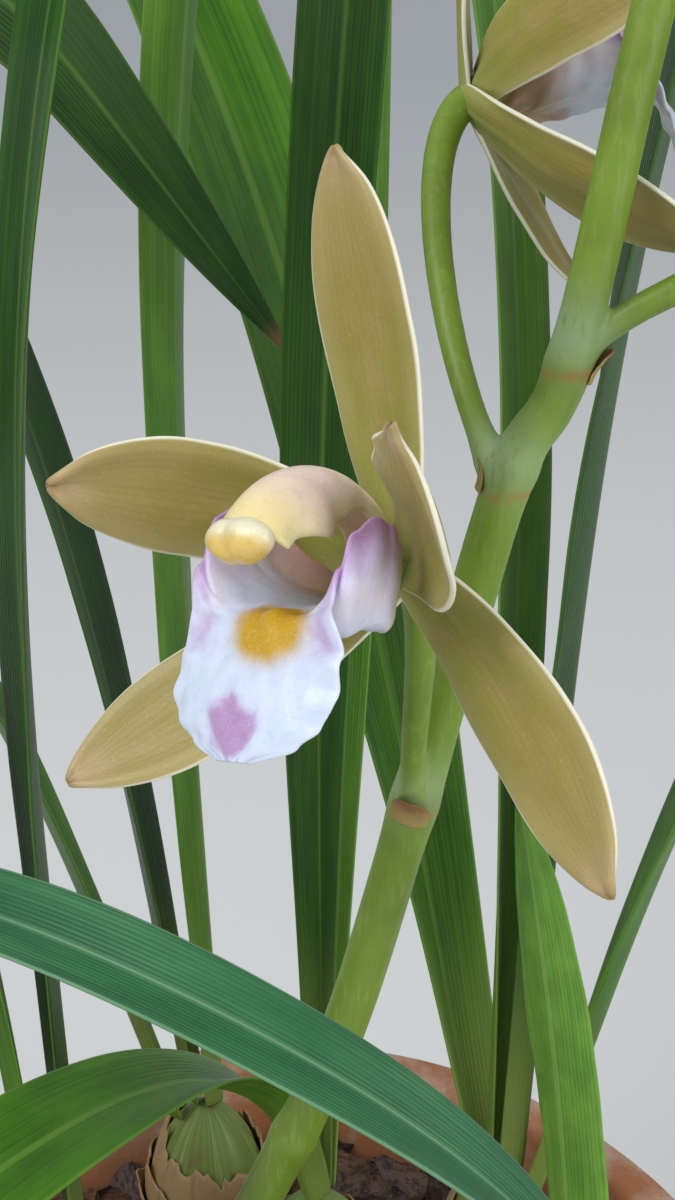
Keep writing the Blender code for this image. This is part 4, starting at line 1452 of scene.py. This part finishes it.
# %% All the pseudobulbs
for number, spec in enumerate(BULBS, 1):
    bulb = make_bulb(number, spec)
    sheaths = [make_sheath(number, layer, spec) for layer in range(SHEATHS_PER_BULB)]
    bulb.data.materials.append(BULB_GREEN)
    for sheath in sheaths:
        sheath.data.materials.append(OLD_SHEATH)
    join_all(bulb, sheaths)
    stand_for(bulb, f"pseudobulb_{number}", "bulb")

# %% [markdown]
# ## Pot
# The pot is thrown clay: a wall that widens to a thick rim band, and a floor with five holes
# round a solid middle. A potter turns it, so here an edge profile is extruded point by point and
# spun about the pot's axis. The doubled seam is merged and the normals are made to point out
# before the holes are cut.

# %% Sizes of the pot
POT_HEIGHT = 150 * MM
POT_RIM_RADIUS = 90 * MM
POT_FOOT_RADIUS = 62 * MM
POT_WALL = 6 * MM
POT_FLOOR = 8 * MM
RIM_BAND_HEIGHT = 24 * MM
RIM_BAND_THICKNESS = 3.5 * MM
RIM_ROUNDING = 2.5 * MM
DRAIN_HOLES = 5
DRAIN_RADIUS = 5 * MM
DRAIN_RING_RADIUS = 38 * MM
POT_TURN_STEPS = 128
FLOOR_CORNER = 4 * MM
BAND_ROUNDING = 1.4 * MM
FOOT_ROUNDING = 1.5 * MM
FOOT_RING = 10 * MM


def inner_radius(height):
    share = (height - POT_FLOOR) / (POT_HEIGHT - POT_FLOOR)
    foot = POT_FOOT_RADIUS - POT_WALL
    return foot + (POT_RIM_RADIUS - RIM_BAND_THICKNESS - POT_WALL - foot) * share


def rounded(middle, radius, first, last, steps):
    """Points on an arc of the profile, from one angle to another in degrees."""
    points = []
    for step in range(steps + 1):
        angle = math.radians(first + (last - first) * step / steps)
        points.append((middle[0] + radius * math.cos(angle), middle[1] + radius * math.sin(angle)))
    return points


# %% Turning the pot
band_foot = POT_HEIGHT - RIM_BAND_HEIGHT
wall_at_band = inner_radius(band_foot) + POT_WALL
rim_height = POT_HEIGHT - RIM_ROUNDING
wall_slope = (wall_at_band - POT_FOOT_RADIUS) / (band_foot - 0.5 * RIM_BAND_THICKNESS)
corner = inner_radius(POT_FLOOR) - FLOOR_CORNER
profile = [(0, POT_FLOOR), (corner, POT_FLOOR)]
profile += rounded((corner, POT_FLOOR + FLOOR_CORNER), FLOOR_CORNER, -60, 0, 4)
profile += [(inner_radius(z * MM), z * MM) for z in range(20, 146, 18)]
profile += rounded((inner_radius(POT_HEIGHT) + RIM_ROUNDING, rim_height), RIM_ROUNDING, 180, 90, 5)
profile += rounded((POT_RIM_RADIUS - RIM_ROUNDING, rim_height), RIM_ROUNDING, 90, 0, 5)
profile += [(POT_RIM_RADIUS - 0.5 * MM, POT_HEIGHT - RIM_BAND_HEIGHT * 0.5)]
profile += rounded((POT_RIM_RADIUS - 3.0 * MM, band_foot), BAND_ROUNDING, 0, -80, 4)
profile += [(wall_at_band + 0.2 * MM, band_foot - 1.2 * MM), (wall_at_band, band_foot - 3 * MM)]
profile += [(POT_FOOT_RADIUS + wall_slope * z * MM, z * MM) for z in range(114, 6, -9)]
profile += rounded((POT_FOOT_RADIUS - FOOT_ROUNDING, FOOT_ROUNDING), FOOT_ROUNDING, 0, -90, 4)
profile += [(POT_FOOT_RADIUS - FOOT_RING, 0), (0, 0)]
print("the pot's edge profile has", len(profile), "points")

let_go()
bpy.ops.mesh.primitive_plane_add(size=1 * MM)
pot = bpy.context.object
pot.name = "clay_pot"
bpy.ops.object.mode_set(mode="EDIT")
bpy.ops.mesh.select_all(action="SELECT")
bpy.ops.mesh.merge(type="CENTER")
bpy.ops.transform.translate(value=(profile[0][0], 0, profile[0][1]))
for (radius, height), (next_radius, next_height) in zip(profile, profile[1:]):
    step = (next_radius - radius, 0, next_height - height)
    bpy.ops.mesh.extrude_region_move(TRANSFORM_OT_translate={"value": step})
bpy.ops.mesh.select_all(action="SELECT")
bpy.ops.mesh.spin(steps=POT_TURN_STEPS, angle=2 * math.pi, center=(0, 0, 0), axis=(0, 0, 1))
bpy.ops.mesh.select_all(action="SELECT")
bpy.ops.mesh.remove_doubles(threshold=0.01 * MM)
bpy.ops.mesh.normals_make_consistent(inside=False)
bpy.ops.object.mode_set(mode="OBJECT")
for vertex in pot.data.vertices:
    spot = vertex.co
    throw_ring = 0.12 * MM * math.sin(spot.z / (1.1 * MM))
    dent = abs(throw_ring + 0.35 * MM * noise.noise(spot * 28))
    flat = math.hypot(spot.x, spot.y)
    if flat > POT_FOOT_RADIUS + 1 * MM and spot.z < rim_height:
        spot.x -= spot.x / flat * dent
        spot.y -= spot.y / flat * dent

# %% Drilling the drainage holes
for hole in range(DRAIN_HOLES):
    angle = 2 * math.pi * hole / DRAIN_HOLES + math.pi / 2
    place = (DRAIN_RING_RADIUS * math.cos(angle), DRAIN_RING_RADIUS * math.sin(angle), 0)
    let_go()
    bpy.ops.mesh.primitive_cylinder_add(vertices=40, radius=DRAIN_RADIUS, depth=0.05, location=place)
    drill = bpy.context.object
    cut = pot.modifiers.new("Hole", "BOOLEAN")
    cut.operation = "DIFFERENCE"
    cut.object = drill
    apply_modifiers(pot)
    bpy.data.objects.remove(drill)
print("drilled", DRAIN_HOLES, "drainage holes")


# %% [markdown]
# ## Clay finish
# Unglazed clay is matt and chalky. It is mottled by the kiln, pale where hard water has dried in
# it, most of all near the rim and the foot, and finely gritty. All of that is in the clay, not
# on a surface, so every pattern reads the object's own place.


# %% Terracotta
def clay_finish():
    material, tree, shader = new_finish("terracotta", Specular_IOR_Level=0.25)
    place = object_place(tree)
    height = add_node(tree, "SeparateXYZ", {"Vector": place}).outputs["Z"]
    kiln = cloudy(tree, place, 16.0, 4.0)
    blotches = cloudy(tree, place, 60.0, 6.0, 0.65)
    grit = cloudy(tree, place, 1500.0, 2.0)
    clay = shades(
        tree, kiln, (0.3, (0.40, 0.15, 0.065)), (0.5, (0.50, 0.20, 0.09)), (0.7, (0.58, 0.27, 0.14))
    )
    rim_salt = between(tree, height, 0.112, 0.150)
    foot_salt = between(tree, height, 0.05, 0.0)
    salty = added(tree, added(tree, blotches, rim_salt, 0.20), foot_salt, 0.30)
    salt = between(tree, salty, 0.60, 0.86)
    salted = laid_over(tree, clay, salt, 0.55, (0.68, 0.58, 0.48))
    speck = between(tree, grit, 0.64, 0.74)
    colour_by(tree, shader, laid_over(tree, salted, speck, 0.4, (0.24, 0.09, 0.045)))
    roughness_by(tree, shader, blotches, 0.78, 0.95)
    relief(tree, shader, added(tree, blotches, grit, 0.35), 0.5 * MM, 0.6)
    return material


stand_for(pot, "pot", "clay", clay_finish())

# %% [markdown]
# ## Bark
# The potting mix is chunks of fir bark: flat, angular flakes in layers, brown to mauve-grey. Five
# flakes are each cut from a cube, roughened and copied hundreds of times at different turns and
# sizes over a lumpy bed that fills the pot. A flake has only a few dozen faces, because nobody
# sees more of it. Each copy carries one tint, so that neighbours differ.

# %% Sizes of the bark
BARK_FLAKES = 620
BARK_KINDS = 5
BARK_GAP = 1.2 * MM
BARK_EDGE = 7 * MM
GOLDEN_ANGLE = 2.39996
BARK_TINTS = (
    (0.115, 0.060, 0.032),
    (0.165, 0.085, 0.050),
    (0.075, 0.040, 0.028),
    (0.200, 0.125, 0.095),
    (0.150, 0.105, 0.098),
    (0.230, 0.130, 0.085),
)
dice = random.Random(12)


# %% Cutting a flake of bark
def make_flake(kind):
    let_go()
    bpy.ops.mesh.primitive_cube_add(size=1)
    flake = bpy.context.object
    flake.name = f"flake_{kind}"
    bpy.ops.object.mode_set(mode="EDIT")
    bpy.ops.mesh.select_all(action="SELECT")
    bpy.ops.mesh.subdivide(number_cuts=2, smoothness=0.35)
    bpy.ops.object.mode_set(mode="OBJECT")
    length, width, height = 13 + 2 * kind, 8 + 1.2 * kind, 3.6 - 0.25 * kind
    for vertex in flake.data.vertices:
        spot = vertex.co.copy()
        rough = Vector(
            noise.noise(spot * 2.1 + Vector((kind * 7, axis * 11, 0))) for axis in range(3)
        )
        spot += rough * 0.30
        spot.x *= 1 - 0.25 * abs(spot.y)
        vertex.co = Vector((spot.x * length, spot.y * width, spot.z * height)) * MM
    return flake


flakes = [make_flake(kind) for kind in range(BARK_KINDS)]


# %% Strewing the flakes
def scatter_flake(kind, index):
    copy = flakes[kind].copy()
    copy.data = flakes[kind].data.copy()
    bpy.context.scene.collection.objects.link(copy)
    reach = (inner_radius(BARK_TOP) - BARK_EDGE) * math.sqrt((index + 0.5) / BARK_FLAKES)
    angle = index * GOLDEN_ANGLE
    lift = dice.uniform(-3.5, 2.6) * MM
    place = Vector((reach * math.cos(angle), reach * math.sin(angle), BARK_TOP + lift))
    tilt = Matrix.Rotation(dice.gauss(0, 0.35), 4, "X") @ Matrix.Rotation(dice.gauss(0, 0.35), 4, "Y")
    spin = Matrix.Rotation(dice.uniform(0, 2 * math.pi), 4, "Z")
    size = Matrix.Scale(dice.uniform(0.55, 1.05), 4)
    copy.data.transform(Matrix.Translation(place) @ spin @ tilt @ size)
    tint = Vector(BARK_TINTS[dice.randrange(len(BARK_TINTS))]) * dice.uniform(0.8, 1.25)
    paint(copy, "tint", [tint] * len(copy.data.vertices))
    return copy


let_go()
bpy.ops.mesh.primitive_cone_add(
    vertices=96,
    radius1=inner_radius(POT_FLOOR) - BARK_GAP,
    radius2=inner_radius(BARK_TOP) - BARK_GAP,
    depth=BARK_TOP - POT_FLOOR - 2.3 * MM,
    location=(0, 0, (BARK_TOP + POT_FLOOR) / 2 - 0.85 * MM),
)
bed = bpy.context.object
bed.name = "bark_flakes"
bpy.ops.object.transform_apply(location=True, rotation=True, scale=True)
# Painted shade: the bed under the flakes is tinted almost black, so the gaps between flakes read as
# shadow.
paint(bed, "tint", [Vector((0.030, 0.019, 0.014))] * len(bed.data.vertices))
strewn = [scatter_flake(dice.randrange(BARK_KINDS), index) for index in range(BARK_FLAKES)]
join_all(bed, strewn)
for flake in flakes:
    bpy.data.objects.remove(flake)
print("strewn", len(strewn), "flakes of", len(flakes), "kinds")


# %% Brown of the bark
def bark_finish():
    material, tree, shader = new_finish("fir_bark", Specular_IOR_Level=0.3)
    tint = painted_tint(tree)
    place = object_place(tree)
    layers = cloudy(tree, object_place(tree, (1, 1, 3)), 330.0, 5.0, 0.65)
    grain = cloudy(tree, place, 1700.0, 4.0, 0.7)
    dark, light = toned(tree, tint, 0.42), toned(tree, tint, 1.7, 0.8)
    colour = mixed(tree, between(tree, layers, 0.56, 0.42), tint, dark)
    fibres = scaled(tree, between(tree, grain, 0.54, 0.68), 0.7)
    colour_by(tree, shader, mixed(tree, fibres, colour, light))
    roughness_by(tree, shader, grain, 0.75, 0.95)
    relief(tree, shader, added(tree, layers, grain), 0.9 * MM, 0.9)
    return material


stand_for(bed, "bark_bed", "bark", bark_finish())
take(bed)
bpy.ops.object.shade_flat()

# %% [markdown]
# ## Studio
# A pale floor, a large soft light from the upper left, a weaker one from the right and a pale
# sky are enough. The camera looks down a little, close to the lowest flower, as a person does
# who admires it.

# %% Floor, lights and camera
let_go()
bpy.ops.mesh.primitive_plane_add(size=40)
floor = bpy.context.object
floor.name = "studio_floor"
floor_finish, _, floor_shader = new_finish("pale_floor", Roughness=0.9)
floor_shader.inputs["Base Color"].default_value = (0.74, 0.74, 0.72, 1)
floor.data.materials.append(floor_finish)


def soft_light(name, place, aim, size, watts):
    bpy.ops.object.light_add(type="AREA", location=place)
    light = bpy.context.object
    light.name = name
    light.rotation_euler = (Vector(aim) - Vector(place)).to_track_quat("-Z", "Y").to_euler()
    light.data.size = size
    light.data.energy = watts


soft_light("window", (-0.9, -0.7, 1.5), (0, 0, 0.3), 1.0, 17)
soft_light("fill", (1.3, -1.0, 0.9), (0, 0, 0.3), 1.2, 15)
sky = bpy.data.worlds.new("pale_sky")
bpy.context.scene.world = sky
sky.use_nodes = True
backdrop = sky.node_tree.nodes["Background"]
backdrop.inputs["Color"].default_value = (0.86, 0.92, 1.0, 1)
backdrop.inputs["Strength"].default_value = 0.50

CAMERA_PITCH = math.radians(24)
CAMERA_PLACE = (0.01175, -0.1976, 0.3859)
bpy.ops.object.camera_add(location=CAMERA_PLACE, rotation=(math.pi / 2 - CAMERA_PITCH, 0, 0))
camera = bpy.context.object
camera.data.lens = 48
camera.data.clip_start = 0.001
bpy.context.scene.camera = camera
bpy.context.scene.view_settings.view_transform = "Standard"
print("camera at", CAMERA_PLACE, "looking down", round(math.degrees(CAMERA_PITCH)), "degrees")
